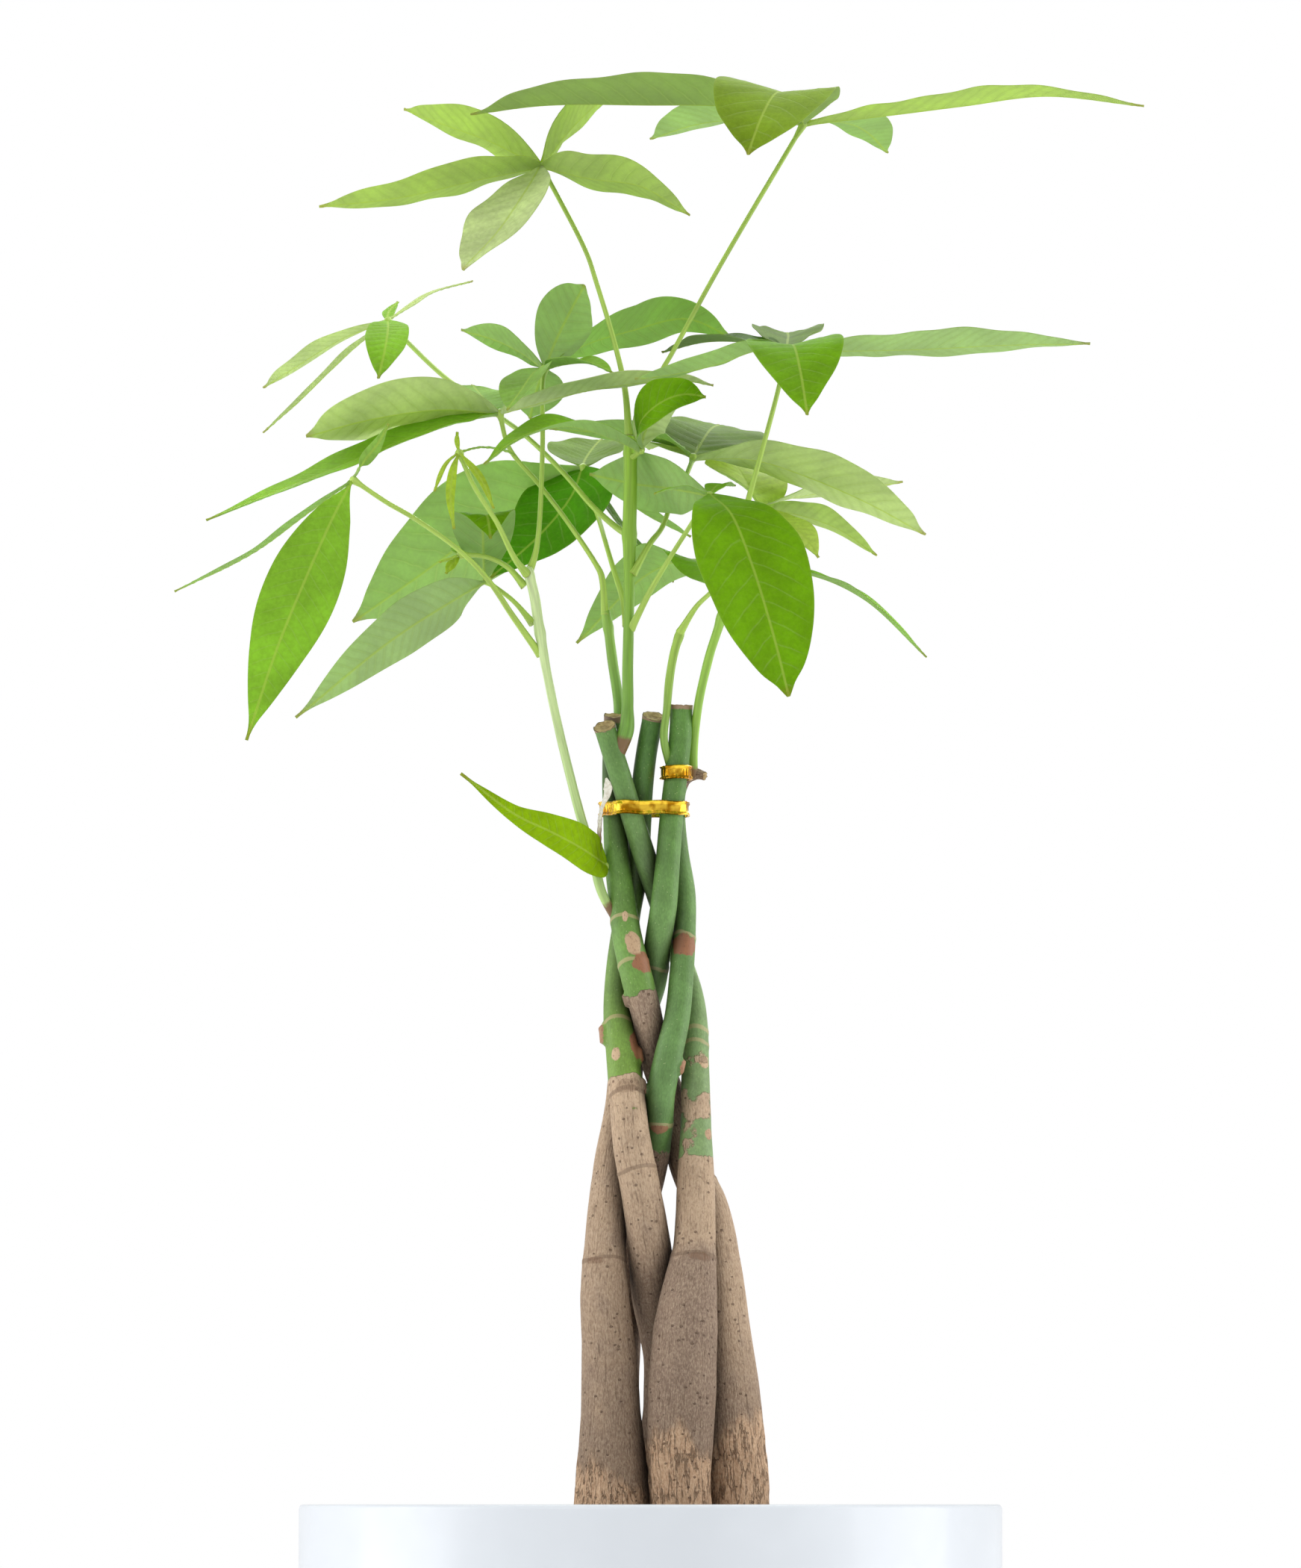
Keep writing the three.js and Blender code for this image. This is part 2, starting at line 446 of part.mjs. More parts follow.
// A leaflet: one grid for its upper face and the same grid turned over for its lower face, so that both are
// split into the same triangles, with a narrow wall round the rim. Its halves rise from the rib by the fold.
function blade({ rib, width, face, fold }) {
  const steps = width < SMALL_BLADE_WIDTH ? SMALL_BLADE_STEPS : BLADE_STEPS;
  const curve = curveThrough(rib);
  const grid = new THREE.PlaneGeometry(1, 1, 2, steps);
  const flat = grid.attributes.position;
  const count = flat.count;
  const faceUp = vector(face);
  const corners = new Float32Array(count * 2 * 3);
  for (let i = 0; i < count; i += 1) {
    const along = 0.5 - flat.getY(i);
    const across = flat.getX(i) * 2;
    const half = Math.max(width / 2 * readOff(OUTLINE, along), BLADE_BASE_WIDTH / 2);
    const tangent = curve.getTangent(along);
    const side = faceUp.clone().cross(tangent).normalize();
    const up = tangent.clone().cross(side);
    const angle = THREE.MathUtils.degToRad(fold);
    const wave = BLADE_WAVE * half * Math.sin(along * WAVE_LENGTHS * 2 * Math.PI + across);
    const lift = Math.abs(across) * (half * Math.sin(angle) + wave);
    const middle = curve.getPoint(along)
      .addScaledVector(side, across * half * Math.cos(angle))
      .addScaledVector(up, lift);
    middle.clone().addScaledVector(up, BLADE_THICKNESS / 2).toArray(corners, i * 3);
    middle.clone().addScaledVector(up, -BLADE_THICKNESS / 2).toArray(corners, (count + i) * 3);
  }
  const triangles = [];
  const gridIndex = grid.index.array;
  for (let i = 0; i < gridIndex.length; i += 3) {
    const [a, b, c] = gridIndex.slice(i, i + 3);
    triangles.push(a, b, c, count + a, count + c, count + b);
  }
  const rim = rimOf(steps);
  rim.forEach((from, i) => {
    const to = rim[(i + 1) % rim.length];
    triangles.push(to, from, count + from, to, count + from, count + to);
  });
  const geometry = new THREE.BufferGeometry();
  geometry.setAttribute('position', new THREE.BufferAttribute(corners, 3));
  geometry.setIndex(triangles);
  return solidOf(geometry);
}

// The rim of a grid with two columns of cells: down its left side, across, up its right side and back
function rimOf(steps) {
  const row = (i) => i * 3;
  const left = Array.from({ length: steps + 1 }, (_, i) => row(i));
  const right = Array.from({ length: steps + 1 }, (_, i) => row(steps - i) + 2);
  return [...left, row(steps) + 1, ...right, 1];
}

function leafSolid({ stalk, leaflets }) {
  const hub = new THREE.IcosahedronGeometry(HUB_RADIUS, 0);
  hub.translate(...stalk[stalk.length - 1]);
  return joined([stalkRod(stalk), solidOf(hub), ...leaflets.map(blade)]);
}

// Pot: a closed profile turned round the axis
function potGeometry() {
  const outer = POT_DIAMETER / 2;
  const inner = outer - POT_WALL;
  const shoulder = RIM_ROUNDING * (1 - Math.SQRT1_2);
  const profile = [
    [0, 0], [outer - FOOT_CHAMFER, 0], [outer, FOOT_CHAMFER],
    [outer, POT_HEIGHT - RIM_ROUNDING], [outer - shoulder, POT_HEIGHT - shoulder],
    [outer - RIM_ROUNDING, POT_HEIGHT], [inner + RIM_ROUNDING, POT_HEIGHT],
    [inner + shoulder, POT_HEIGHT - shoulder], [inner, POT_HEIGHT - RIM_ROUNDING],
    [inner, POT_FLOOR], [0, POT_FLOOR],
  ].map(([r, z]) => new THREE.Vector2(r, z));
  return new THREE.LatheGeometry(profile, POT_SIDES).rotateX(Math.PI / 2);
}

// Soil: fills the pot to below the rim, with a slightly uneven top that rises towards the braid
function soilGeometry() {
  const radius = POT_DIAMETER / 2 - POT_WALL - GAP;
  const top = SOIL_TOP.map(([out, rise]) => [radius * out, SOIL_LEVEL + SOIL_CROWN * rise]);
  const profile = [[0, POT_FLOOR + GAP], [radius, POT_FLOOR + GAP], [radius, SOIL_LEVEL], ...top]
    .map(([r, z]) => new THREE.Vector2(r, z));
  const geometry = new THREE.LatheGeometry(profile, SOIL_SIDES).rotateX(Math.PI / 2);
  const position = geometry.attributes.position;
  for (let i = 0; i < position.count; i += 1) {
    const [x, y, z] = [position.getX(i), position.getY(i), position.getZ(i)];
    if (z > SOIL_LEVEL) {
      position.setZ(i, z + SOIL_RIPPLE * Math.sin(x / SOIL_LUMP) * Math.cos(y / SOIL_LUMP));
    }
  }
  return geometry;
}

// Where a stem is at a height, and how thick: its rows read off with straight lines
function stemAt(rows, height) {
  const next = rows.findIndex((row) => row[2] >= height);
  const share = (height - rows[next - 1][2]) / (rows[next][2] - rows[next - 1][2]);
  return rows[next].map((value, k) => THREE.MathUtils.lerp(rows[next - 1][k], value, share));
}

// A tie: a flat strip of foil pulled taut round its stems. In each direction it lies on the stem that
// reaches furthest, so its corners follow the stems and it runs straight between them.
function tieSolid({ stems, low, high }) {
  const held = [low, high].flatMap((height) => stems.map((name) => stemAt(STEMS[name], height)));
  const ring = (standOff) => Array.from({ length: TIE_CORNERS }, (_, i) => {
    const turn = (i / TIE_CORNERS) * 2 * Math.PI;
    const [ux, uy] = [Math.cos(turn), Math.sin(turn)];
    const reach = ([x, y, , radius]) => x * ux + y * uy + radius;
    const [x, y, , radius] = held.reduce((best, stem) => (reach(stem) > reach(best) ? stem : best));
    return new THREE.Vector2(x + ux * (radius + standOff), y + uy * (radius + standOff));
  });
  const shape = new THREE.Shape(ring(TIE_CLEARANCE + TIE_THICKNESS));
  shape.holes.push(new THREE.Path(ring(TIE_CLEARANCE)));
  const geometry = new THREE.ExtrudeGeometry(shape, { depth: high - low, bevelEnabled: false });
  return solidOf(geometry.translate(0, 0, low));
}

const potted = new THREE.Group();

function addPiece(name, geometry, material) {
  const mesh = new THREE.Mesh(geometry, material);
  mesh.name = name;
  potted.add(mesh);
}

const glaze = new THREE.MeshStandardMaterial({ color: 0xe9edf1, roughness: 0.25, metalness: 0 });
const soilDark = new THREE.MeshStandardMaterial({ color: 0x3b2a1d, roughness: 1, metalness: 0 });
const bark = new THREE.MeshStandardMaterial({ color: 0x9a8a72, roughness: 0.85, metalness: 0 });
const shootGreen = new THREE.MeshStandardMaterial({ color: 0x7aa545, roughness: 0.5, metalness: 0 });
const leafGreen = new THREE.MeshStandardMaterial({ color: 0x7fae4a, roughness: 0.5, metalness: 0 });
const goldFoil = new THREE.MeshStandardMaterial({ color: 0xd9a520, roughness: 0.25, metalness: 1 });
const palePaper = new THREE.MeshStandardMaterial({ color: 0xe8e0d0, roughness: 0.8, metalness: 0 });

// Stems first, then what is cut clear of them: shoots, ties, soil and leaves
const stemSolids = Object.values(STEMS).map((rows) => woodyRod(rows, STEM_SIDES));
const stemSpaces = Object.values(STEMS).map((rows) => woodyRod(rows, STEM_SIDES, GAP));
const shootSolids = Object.values(SHOOTS).map((rows) => cutClear(woodyRod(rows, SHOOT_SIDES), stemSpaces));
const shootSpaces = Object.values(SHOOTS).map((rows) => woodyRod(rows, SHOOT_SIDES, GAP));

addPiece('pot', potGeometry(), glaze);
addPiece('soil', geometryOf(cutClear(solidOf(soilGeometry()), stemSpaces)), soilDark);
Object.keys(STEMS).forEach((name, i) => addPiece(name, geometryOf(stemSolids[i]), bark));
Object.keys(SHOOTS).forEach((name, i) => addPiece(name, geometryOf(shootSolids[i]), shootGreen));
Object.entries(TIES).forEach(([name, tie]) => addPiece(name, geometryOf(tieSolid(tie)), goldFoil));
addPiece('tie_tail', geometryOf(blade(TIE_TAIL)), palePaper);
for (const [name, leaf] of Object.entries(LEAVES)) {
  addPiece(name, geometryOf(cutClear(leafSolid(leaf), [...shootSpaces, ...stemSpaces])), leafGreen);
}

export default potted;
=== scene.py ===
# %% [markdown]
# # A potted money tree
# The plant is a young money tree: five slender stems braided together, tied with gold foil, with green
# shoots that carry leaves of five to six leaflets. It stands in soil in a plain white cylindrical pot.
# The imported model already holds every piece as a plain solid. This lesson loads those solids as a fixed
# frame, then grows a finer piece over each of them, gives it a finish, and lights it as in a bright
# studio. Sizes of the plant are written in millimetres, as on a drawing, and are turned into metres once.

# %% Load the plain solids
import json
import math

import bpy
import numpy as np
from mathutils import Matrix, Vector
from mathutils import noise as bump_pattern

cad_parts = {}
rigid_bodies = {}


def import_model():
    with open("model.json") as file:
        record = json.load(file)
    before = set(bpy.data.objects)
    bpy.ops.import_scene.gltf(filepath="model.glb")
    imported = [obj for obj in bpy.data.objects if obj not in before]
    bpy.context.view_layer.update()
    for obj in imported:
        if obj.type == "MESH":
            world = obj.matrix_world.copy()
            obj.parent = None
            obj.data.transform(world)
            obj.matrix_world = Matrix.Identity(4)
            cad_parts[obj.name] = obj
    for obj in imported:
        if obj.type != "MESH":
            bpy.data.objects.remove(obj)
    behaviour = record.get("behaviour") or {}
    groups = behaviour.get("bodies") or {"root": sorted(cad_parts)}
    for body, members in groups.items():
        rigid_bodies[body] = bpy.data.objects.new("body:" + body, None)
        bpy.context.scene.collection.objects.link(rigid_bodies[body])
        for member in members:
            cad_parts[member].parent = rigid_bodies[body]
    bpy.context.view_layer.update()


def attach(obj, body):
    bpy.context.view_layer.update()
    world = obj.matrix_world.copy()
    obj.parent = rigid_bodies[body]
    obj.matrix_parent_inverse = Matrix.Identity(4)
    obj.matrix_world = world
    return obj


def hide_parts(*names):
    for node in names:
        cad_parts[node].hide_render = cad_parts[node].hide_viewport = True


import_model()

MM = 0.001

# %% [markdown]
# ## The camera
# The photograph was taken from far away, from about the height of the pot's rim, looking slightly
# upwards. A long lens repeats that: parallel things stay nearly parallel, so the leaves keep their true
# widths. The camera is aimed by its direction instead of by a shift.

# %% Camera
CAMERA_PLACE = (0, -2.5, 0.165)
CAMERA_AIM = (0, 0, 0.3478)
LENS_MM = 226.2
SENSOR_HEIGHT_MM = 36


def deselect_all():
    if bpy.context.mode != "OBJECT":
        bpy.ops.object.mode_set(mode="OBJECT")
    bpy.ops.object.select_all(action="DESELECT")


def turned_towards(place, aim):
    """How a camera or a lamp at one place is turned to look at another."""
    return (Vector(aim) - Vector(place)).to_track_quat("-Z", "Y").to_euler()


deselect_all()
bpy.ops.object.camera_add(location=CAMERA_PLACE)
camera = bpy.context.active_object
camera.name = "camera"
camera.rotation_euler = turned_towards(CAMERA_PLACE, CAMERA_AIM)
camera.data.sensor_fit = "VERTICAL"
camera.data.sensor_height = SENSOR_HEIGHT_MM
camera.data.lens = LENS_MM
camera.data.clip_end = 20
bpy.context.scene.camera = camera
print("camera", tuple(round(v, 3) for v in camera.location), "lens", camera.data.lens)

# %% [markdown]
# ## Nodes
# Every finish is a small network of nodes on a Principled shader. Short helpers keep the cells readable:
# each adds one node to the finish that was begun last, and gives back the node's output. Patterns read
# places that are kept on the piece itself, so that they bend with a stem or a leaf and never slide.

# %% Adding and plugging nodes
def begin_nodes(owner):
    """Begin the nodes of a finish or of the world. The helpers below add to the one begun last."""
    global under_way
    owner.use_nodes = True
    under_way = owner.node_tree
    return owner


def new_finish(name):
    return begin_nodes(bpy.data.materials.new(name))


def plug(value, socket):
    """Link an output to a socket, or set the socket to a number or a colour."""
    if isinstance(value, bpy.types.NodeSocket):
        under_way.links.new(value, socket)
    else:
        socket.default_value = value


def add_node(kind, output, inputs=None, **settings):
    node = under_way.nodes.new("ShaderNode" + kind)
    for setting, value in settings.items():
        setattr(node, setting, value)
    for name, value in (inputs or {}).items():
        plug(value, node.inputs[name])
    return node.outputs[output]


def set_surface(inputs):
    """Plug outputs, numbers or colours into the sockets of the Principled shader."""
    for name, value in inputs.items():
        plug(value, under_way.nodes["Principled BSDF"].inputs[name])


def blend_in(share, shader):
    """Mix another shader into the finish."""
    principled = under_way.nodes["Principled BSDF"].outputs["BSDF"]
    mixed = add_node("MixShader", "Shader", {"Fac": share, 1: principled, 2: shader})
    plug(mixed, under_way.nodes["Material Output"].inputs["Surface"])


# %% Sums, steps and mixed colours
def times(first, second):
    return add_node("Math", 0, {0: first, 1: second}, operation="MULTIPLY")


def plus(first, second):
    return add_node("Math", 0, {0: first, 1: second}, operation="ADD")


def minus(first, second):
    return add_node("Math", 0, {0: first, 1: second}, operation="SUBTRACT")


def without_sign(value):
    return add_node("Math", 0, {0: value}, operation="ABSOLUTE")


def soft_step(value, low, high, from_value=0.0, to_value=1.0):
    """Go smoothly from one number to another while a value goes from low to high."""
    inputs = {"Value": value, "From Min": low, "From Max": high}
    inputs.update({"To Min": from_value, "To Max": to_value})
    return add_node("MapRange", "Result", inputs, interpolation_type="SMOOTHSTEP")


def mix_colour(share, first, second, blend="MIX"):
    inputs = {"Factor": share, 6: first, 7: second}
    return add_node("Mix", 2, inputs, data_type="RGBA", blend_type=blend)


def brightened(colour, share):
    return add_node("VectorMath", 0, {0: colour, "Scale": share}, operation="SCALE")


def paint(red, green, blue):
    """A colour as seen on a screen, 0 to 255, in the light values that a shader uses."""
    shares = [v / 255 for v in (red, green, blue)]
    return (*(v / 12.92 if v <= 0.04045 else ((v + 0.055) / 1.055) ** 2.4 for v in shares), 1)


# %% Places and patterns
def kept(name, output="Fac"):
    """What is kept on the piece's vertices under a name."""
    return add_node("Attribute", output, attribute_name=name)


def object_place():
    return add_node("TexCoord", "Object")


def stretched(vector, scale):
    return add_node("Mapping", "Vector", {"Vector": vector, "Scale": scale})


def noise(vector, scale, detail=3.0, roughness=0.55):
    inputs = {"Vector": vector, "Scale": scale, "Detail": detail, "Roughness": roughness}
    return add_node("TexNoise", "Fac", inputs)


def cells(vector, scale, feature="F1"):
    return add_node("TexVoronoi", "Distance", {"Vector": vector, "Scale": scale}, feature=feature)


def add_bump(height, strength, depth_mm):
    inputs = {"Strength": strength, "Distance": depth_mm * MM, "Height": height}
    normal = add_node("Bump", "Normal", inputs)
    set_surface({"Normal": normal})
    return normal


# %% [markdown]
# ## Adding primitives
# Each new piece starts as a primitive. Everything is deselected first, because an operator acts on all
# that is selected. The mesh gets the same name as its object.

# %% Adding primitives
def named(piece, name):
    piece.name = name
    piece.data.name = name
    return piece


def add_primitive(operator, name, **settings):
    deselect_all()
    operator(**settings)
    return named(bpy.context.active_object, name)


# %% [markdown]
# ## Studio
# The background is plain white and the light comes softly from all round, stronger from both sides, so
# that the pot is brightest along its edges, and from behind, so that thin leaves glow. A pale world gives
# the even part. Its background is seen as pure white, while it lights the plant a little less, which
# keeps the white pot grey enough to be seen. Large area lights give the direction, and a pale floor
# catches the pot's foot. Away from the pot the floor fades into the white, so that no edge of it shows
# from any side.

# %% World and floor
WORLD_AS_LIGHT, WORLD_AS_SEEN = 0.74, 1.0
FLOOR_SIZE, FADES_FROM, FADES_TO = 3.2, 0.95, 1.5

bpy.context.scene.view_settings.view_transform = "Standard"
world = begin_nodes(bpy.data.worlds.new("white_studio"))
bpy.context.scene.world = world
background = world.node_tree.nodes["Background"]
seen_directly = add_node("LightPath", "Is Camera Ray")
strength = {"Value": seen_directly, "To Min": WORLD_AS_LIGHT, "To Max": WORLD_AS_SEEN}
plug(add_node("MapRange", "Result", strength), background.inputs["Strength"])
plug((1, 1, 1, 1), background.inputs["Color"])

floor = add_primitive(bpy.ops.mesh.primitive_plane_add, "floor", size=FLOOR_SIZE, location=(0, 0, 0))
floor_paint = new_finish("floor_paint")
set_surface({"Base Color": (0.82, 0.82, 0.82, 1), "Roughness": 0.8})
from_centre = add_node("VectorMath", "Value", {0: object_place()}, operation="LENGTH")
fading = {"Value": from_centre, "From Min": FADES_FROM, "From Max": FADES_TO}
blend_in(add_node("MapRange", "Result", fading), add_node("BsdfTransparent", "BSDF"))
floor.data.materials.append(floor_paint)
print("floor", FLOOR_SIZE, "m wide, fading from", FADES_FROM, "to", FADES_TO, "m")


# %% Lights
def add_area_light(name, place, aim, size, power):
    deselect_all()
    bpy.ops.object.light_add(type="AREA", location=place)
    light = bpy.context.active_object
    light.name = name
    light.data.size = size
    light.data.energy = power
    light.rotation_euler = turned_towards(place, aim)
    return light


add_area_light("key_light", (-0.9, -1.9, 1.3), (0, 0, 0.35), 1.0, 5)
add_area_light("left_light", (-1.9, -0.1, 0.7), (0, 0, 0.3), 1.5, 16)
add_area_light("right_light", (1.9, 0.0, 0.6), (0, 0, 0.3), 1.5, 17)
back_light = add_area_light("back_light", (0.2, 1.5, 1.3), (0, 0, 0.42), 1.5, 28)
add_area_light("top_light", (0.0, 0.25, 2.0), (0, 0, 0.42), 1.4, 15)

# %% [markdown]
# ## Small helpers for the mesh work
# What repeats is modelled once and copied, each copy with its own mesh. Corners are moved all at once, as
# rows of numbers. What a material has to know about a place, such as how much bark lies there, is kept on
# its vertex. A finished piece is shaded smooth, rides on the one body, and stands in for its plain solid.

# %% Copying, joining and finishing
def select_only(piece):
    deselect_all()
    piece.select_set(True)
    bpy.context.view_layer.objects.active = piece


def thicken(piece, thickness, offset):
    solidify = piece.modifiers.new("two_faces", "SOLIDIFY")
    solidify.thickness = thickness
    solidify.offset = offset
    select_only(piece)
    bpy.ops.object.modifier_apply(modifier=solidify.name)


def copy_of(piece, name):
    twin = piece.copy()
    twin.data = piece.data.copy()
    bpy.context.collection.objects.link(twin)
    return named(twin, name)


def join_pieces(pieces, name):
    select_only(pieces[0])
    for piece in pieces[1:]:
        piece.select_set(True)
    bpy.ops.object.join()
    return named(bpy.context.active_object, name)


def stand_in(piece, node, degrees):
    select_only(piece)
    bpy.ops.object.shade_smooth_by_angle(angle=math.radians(degrees))
    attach(piece, "root")
    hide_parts(node)
    print(piece.name, "faces", len(piece.data.polygons))


# %% Corners and what is kept on them
LAYER_KINDS = {1: ("FLOAT", "value"), 3: ("FLOAT_VECTOR", "vector"), 4: ("FLOAT_COLOR", "color")}


def corners_of(piece):
    flat = np.empty(len(piece.data.vertices) * 3)
    piece.data.vertices.foreach_get("co", flat)
    return flat.reshape(-1, 3)


def set_corners(piece, places):
    piece.data.vertices.foreach_set("co", np.ascontiguousarray(places, dtype=np.float32).ravel())
    piece.data.update()


def keep_on_points(piece, **notes):
    """Keep numbers, places or colours on the vertices, under the names that the materials read."""
    for name, values in notes.items():
        values = np.asarray(values, dtype=np.float32)
        kind, key = LAYER_KINDS[values.size // len(piece.data.vertices)]
        piece.data.attributes.new(name, kind, "POINT").data.foreach_set(key, values.ravel())


def blended_paint(low, high, share):
    """A colour for each point, from one paint to another as its share goes from 0 to 1."""
    share = np.asarray(share)[:, None]
    return np.array(paint(*low)) * (1 - share) + np.array(paint(*high)) * share


# %% [markdown]
# ## Paths
# Stems, stalks and leaf ribs all bend, so each is given as a few points, and a smooth path runs through
# them. The points are spread along the path by the square root of their distances, which keeps it from
# looping where two points lie close together. A frame is carried along without twisting, so a tube keeps
# its sides.

# %% Smooth paths
def smooth_path(points):
    points = [Vector(p[:3]) for p in points]
    last = len(points) - 1

    def place(share):
        spot = share * last
        i = min(int(spot), last - 1)
        part = spot - i
        here, there = points[i], points[i + 1]
        before = points[i - 1] if i > 0 else here * 2 - there
        after = points[i + 2] if i + 2 <= last else there * 2 - here
        gap_mid = max((there - here).length, 1e-6) ** 0.5
        gap_in = max((here - before).length, 1e-6) ** 0.5
        gap_out = max((after - there).length, 1e-6) ** 0.5
        steady = (there - here) / gap_mid
        start = (here - before) / gap_in - (there - before) / (gap_in + gap_mid) + steady
        stop = steady - (after - here) / (gap_mid + gap_out) + (after - there) / gap_out
        start, stop = start * gap_mid, stop * gap_mid
        square = (there - here) * 3 - start * 2 - stop
        cube = (here - there) * 2 + start + stop
        return here + start * part + square * part**2 + cube * part**3

    return place


def rows_along(place, shares):
    """Places and directions at each share of a path."""
    step = 1e-4
    spots = [place(s) for s in shares]
    ways = [(place(min(s + step, 1)) - place(max(s - step, 0))).normalized() for s in shares]
    return spots, ways


# %% Frames and lengths along a path
def as_rows(vectors):
    return np.array([tuple(v) for v in vectors])


def carried_frames(ways):
    """Two directions across a path at each place, turned as little as possible from one to the next."""
    first = Vector((1, 0, 0)) if abs(ways[0].x) < 0.8 else Vector((0, 1, 0))
    across = [(first - ways[0] * first.dot(ways[0])).normalized()]
    for before, after in zip(ways, ways[1:]):
        turned = before.rotation_difference(after) @ across[-1]
        across.append((turned - after * turned.dot(after)).normalized())
    return across, [way.cross(side) for way, side in zip(ways, across)]


def run_along(spots):
    """How far each place lies along the line through them."""
    return np.concatenate([[0], np.cumsum(np.linalg.norm(np.diff(spots, axis=0), axis=1))])


# %% Reading off, ramps and bells
def read_off(rows, places):
    """Values at the given places, from a list of (place, value) rows."""
    return np.interp(places, [r[0] for r in rows], [r[1] for r in rows])


def ramp(values, low, high):
    """0 up to low, 1 from high on, and straight in between."""
    return np.clip((values - low) / (high - low), 0, 1)


def bell(away, width):
    """1 where away is nought, fading smoothly to nothing at about twice the width."""
    return np.exp(-((away / width) ** 2))


def bumps(places, size_mm, seed):
    """Smooth bumps of about the given size at each place, from a fixed pattern, about -1 to 1."""
    spread = np.asarray(places) / size_mm
    offset = Vector((seed * 7.3, seed * 3.1, seed * 5.7))
    return np.array([bump_pattern.noise(Vector(p) + offset) for p in spread])


# %% [markdown]
# ## Leaf finish
# A leaflet is satin on its upper face and matt and paler below, with a pale midrib, a dozen pairs of side
# veins that lean towards the tip, and a fine net between them. Each blade keeps its place across and
# along the rib in millimetres, its side, and its own green, and the veins are drawn from those.

# %% Veins of a leaf
leaf_skin = new_finish("leaf_skin")
blade_place = kept("blade_place", "Vector")
upper = kept("upper_face")
margin = kept("margin")
from_rib = without_sign(add_node("SeparateXYZ", "X", {0: blade_place}))
wander = times(minus(noise(blade_place, 0.12, 2), 0.5), 0.5)
counted = add_node("Math", 0, {0: plus(kept("vein_count"), wander)}, operation="FRACT")
to_vein = times(without_sign(minus(counted, 0.5)), 2)
# Where the painted shade between the puffs of the blade lies, close to the side veins.
vein_side_shade_mask = soft_step(to_vein, 0.35, 0.85)
side_vein = times(soft_step(to_vein, 0.84, 0.98), soft_step(margin, 0.5, 1.0, 1.0, 0.15))
midrib = soft_step(from_rib, 0.15, 0.5, 1.0, 0.0)
net = soft_step(cells(blade_place, 0.85, "DISTANCE_TO_EDGE"), 0.0, 0.1, 1.0, 0.0)
net = times(net, minus(1.0, midrib))

# %% Colours of a leaf
mottle = noise(blade_place, 0.07, 4)
grain = noise(blade_place, 0.9, 3)
shade = times(soft_step(mottle, 0.3, 0.7, 0.86, 1.12), soft_step(grain, 0.3, 0.7, 0.93, 1.07))
tissue = mix_colour(times(net, 0.05), brightened(kept("green", "Color"), shade), paint(190, 205, 120))
tissue = mix_colour(soft_step(margin, 0.94, 1.0, 0.0, 0.2), tissue, paint(170, 190, 90))
face_green = mix_colour(upper, mix_colour(0.5, tissue, paint(198, 216, 172)), tissue)
# Painted shade: the tissue is darkened towards the side veins, where the blade sinks between its puffs.
puff_shade = times(vein_side_shade_mask, soft_step(upper, 0.0, 1.0, 0.1, 0.06))
face_green = mix_colour(puff_shade, face_green, paint(120, 150, 60))
vein_share = times(side_vein, soft_step(upper, 0.0, 1.0, 0.3, 0.14))
face_green = mix_colour(vein_share, face_green, paint(204, 218, 150))
face_green = mix_colour(times(midrib, 0.55), face_green, paint(196, 214, 104))
face_green = mix_colour(times(kept("tip"), 0.3), face_green, paint(168, 130, 62))
satin = soft_step(upper, 0.0, 1.0, 0.7, 0.54)
set_surface({"Base Color": face_green, "Roughness": satin, "Specular IOR Level": 0.06})

# %% [markdown]
# The veins are sunk into the upper face and stand out below, so the same relief is turned over for the
# lower side. A leaf is also thin enough for light to pass, so half of it is a Translucent shader.

# %% Relief and glow of a leaf
sunken = plus(plus(times(side_vein, 0.8), midrib), times(net, 0.08))
turned_over = minus(1.0, times(upper, 2.0))
leaf_normal = add_bump(plus(times(sunken, turned_over), times(grain, 0.05)), 0.3, 0.3)
glow_green = mix_colour(1.0, face_green, paint(250, 255, 205), "MULTIPLY")
blend_in(0.5, add_node("BsdfTranslucent", "BSDF", {"Color": glow_green, "Normal": leaf_normal}))
print("leaf finish:", len(under_way.nodes), "nodes")

# %% [markdown]
# ## Stalk and shoot finish
# Stalks and young shoots are smooth and round, yellow-green in the light and a little brown at their
# nodes. Their pattern is drawn on straightened places, as if the shoot were combed straight, so fine
# lines run along it.

# %% Shoot finish
shoot_skin = new_finish("shoot_skin")
straight = kept("straight_place", "Vector")
lines = noise(stretched(straight, (1.6, 1.6, 0.06)), 1.0, 3)
spots = noise(straight, 0.5, 4)
skin_green = brightened(kept("green", "Color"), soft_step(lines, 0.3, 0.7, 0.82, 1.14))
browned = plus(kept("browned"), times(minus(spots, 0.5), 0.6))
skin_green = mix_colour(soft_step(browned, 0.35, 0.65), skin_green, paint(120, 92, 58))
set_surface({"Base Color": skin_green, "Roughness": 0.48})
set_surface({"Subsurface Weight": 0.08, "Subsurface Radius": (0.002, 0.003, 0.001)})
add_bump(plus(lines, times(spots, 0.5)), 0.35, 0.25)
print("shoot finish:", len(under_way.nodes), "nodes")

# %% [markdown]
# ## Bark finish
# High up the stems are still green and smooth, each with its own green and with fine pale dots. The
# shares of bark, scar, ring and flakes at each place are kept on the stem, and noise breaks their edges.

# %% Green skin of a stem
bark_skin = new_finish("bark_skin")
straight = kept("straight_place", "Vector")
blotch = noise(straight, 0.16, 5)
lines = noise(stretched(straight, (2.0, 2.0, 0.16)), 1.0, 4, 0.6)
grain = noise(stretched(straight, (1.0, 1.0, 0.45)), 2.6, 4, 0.65)


def ragged_share(name, spread, low, high, pattern=blotch):
    return soft_step(plus(kept(name), times(minus(pattern, 0.5), spread)), low, high)


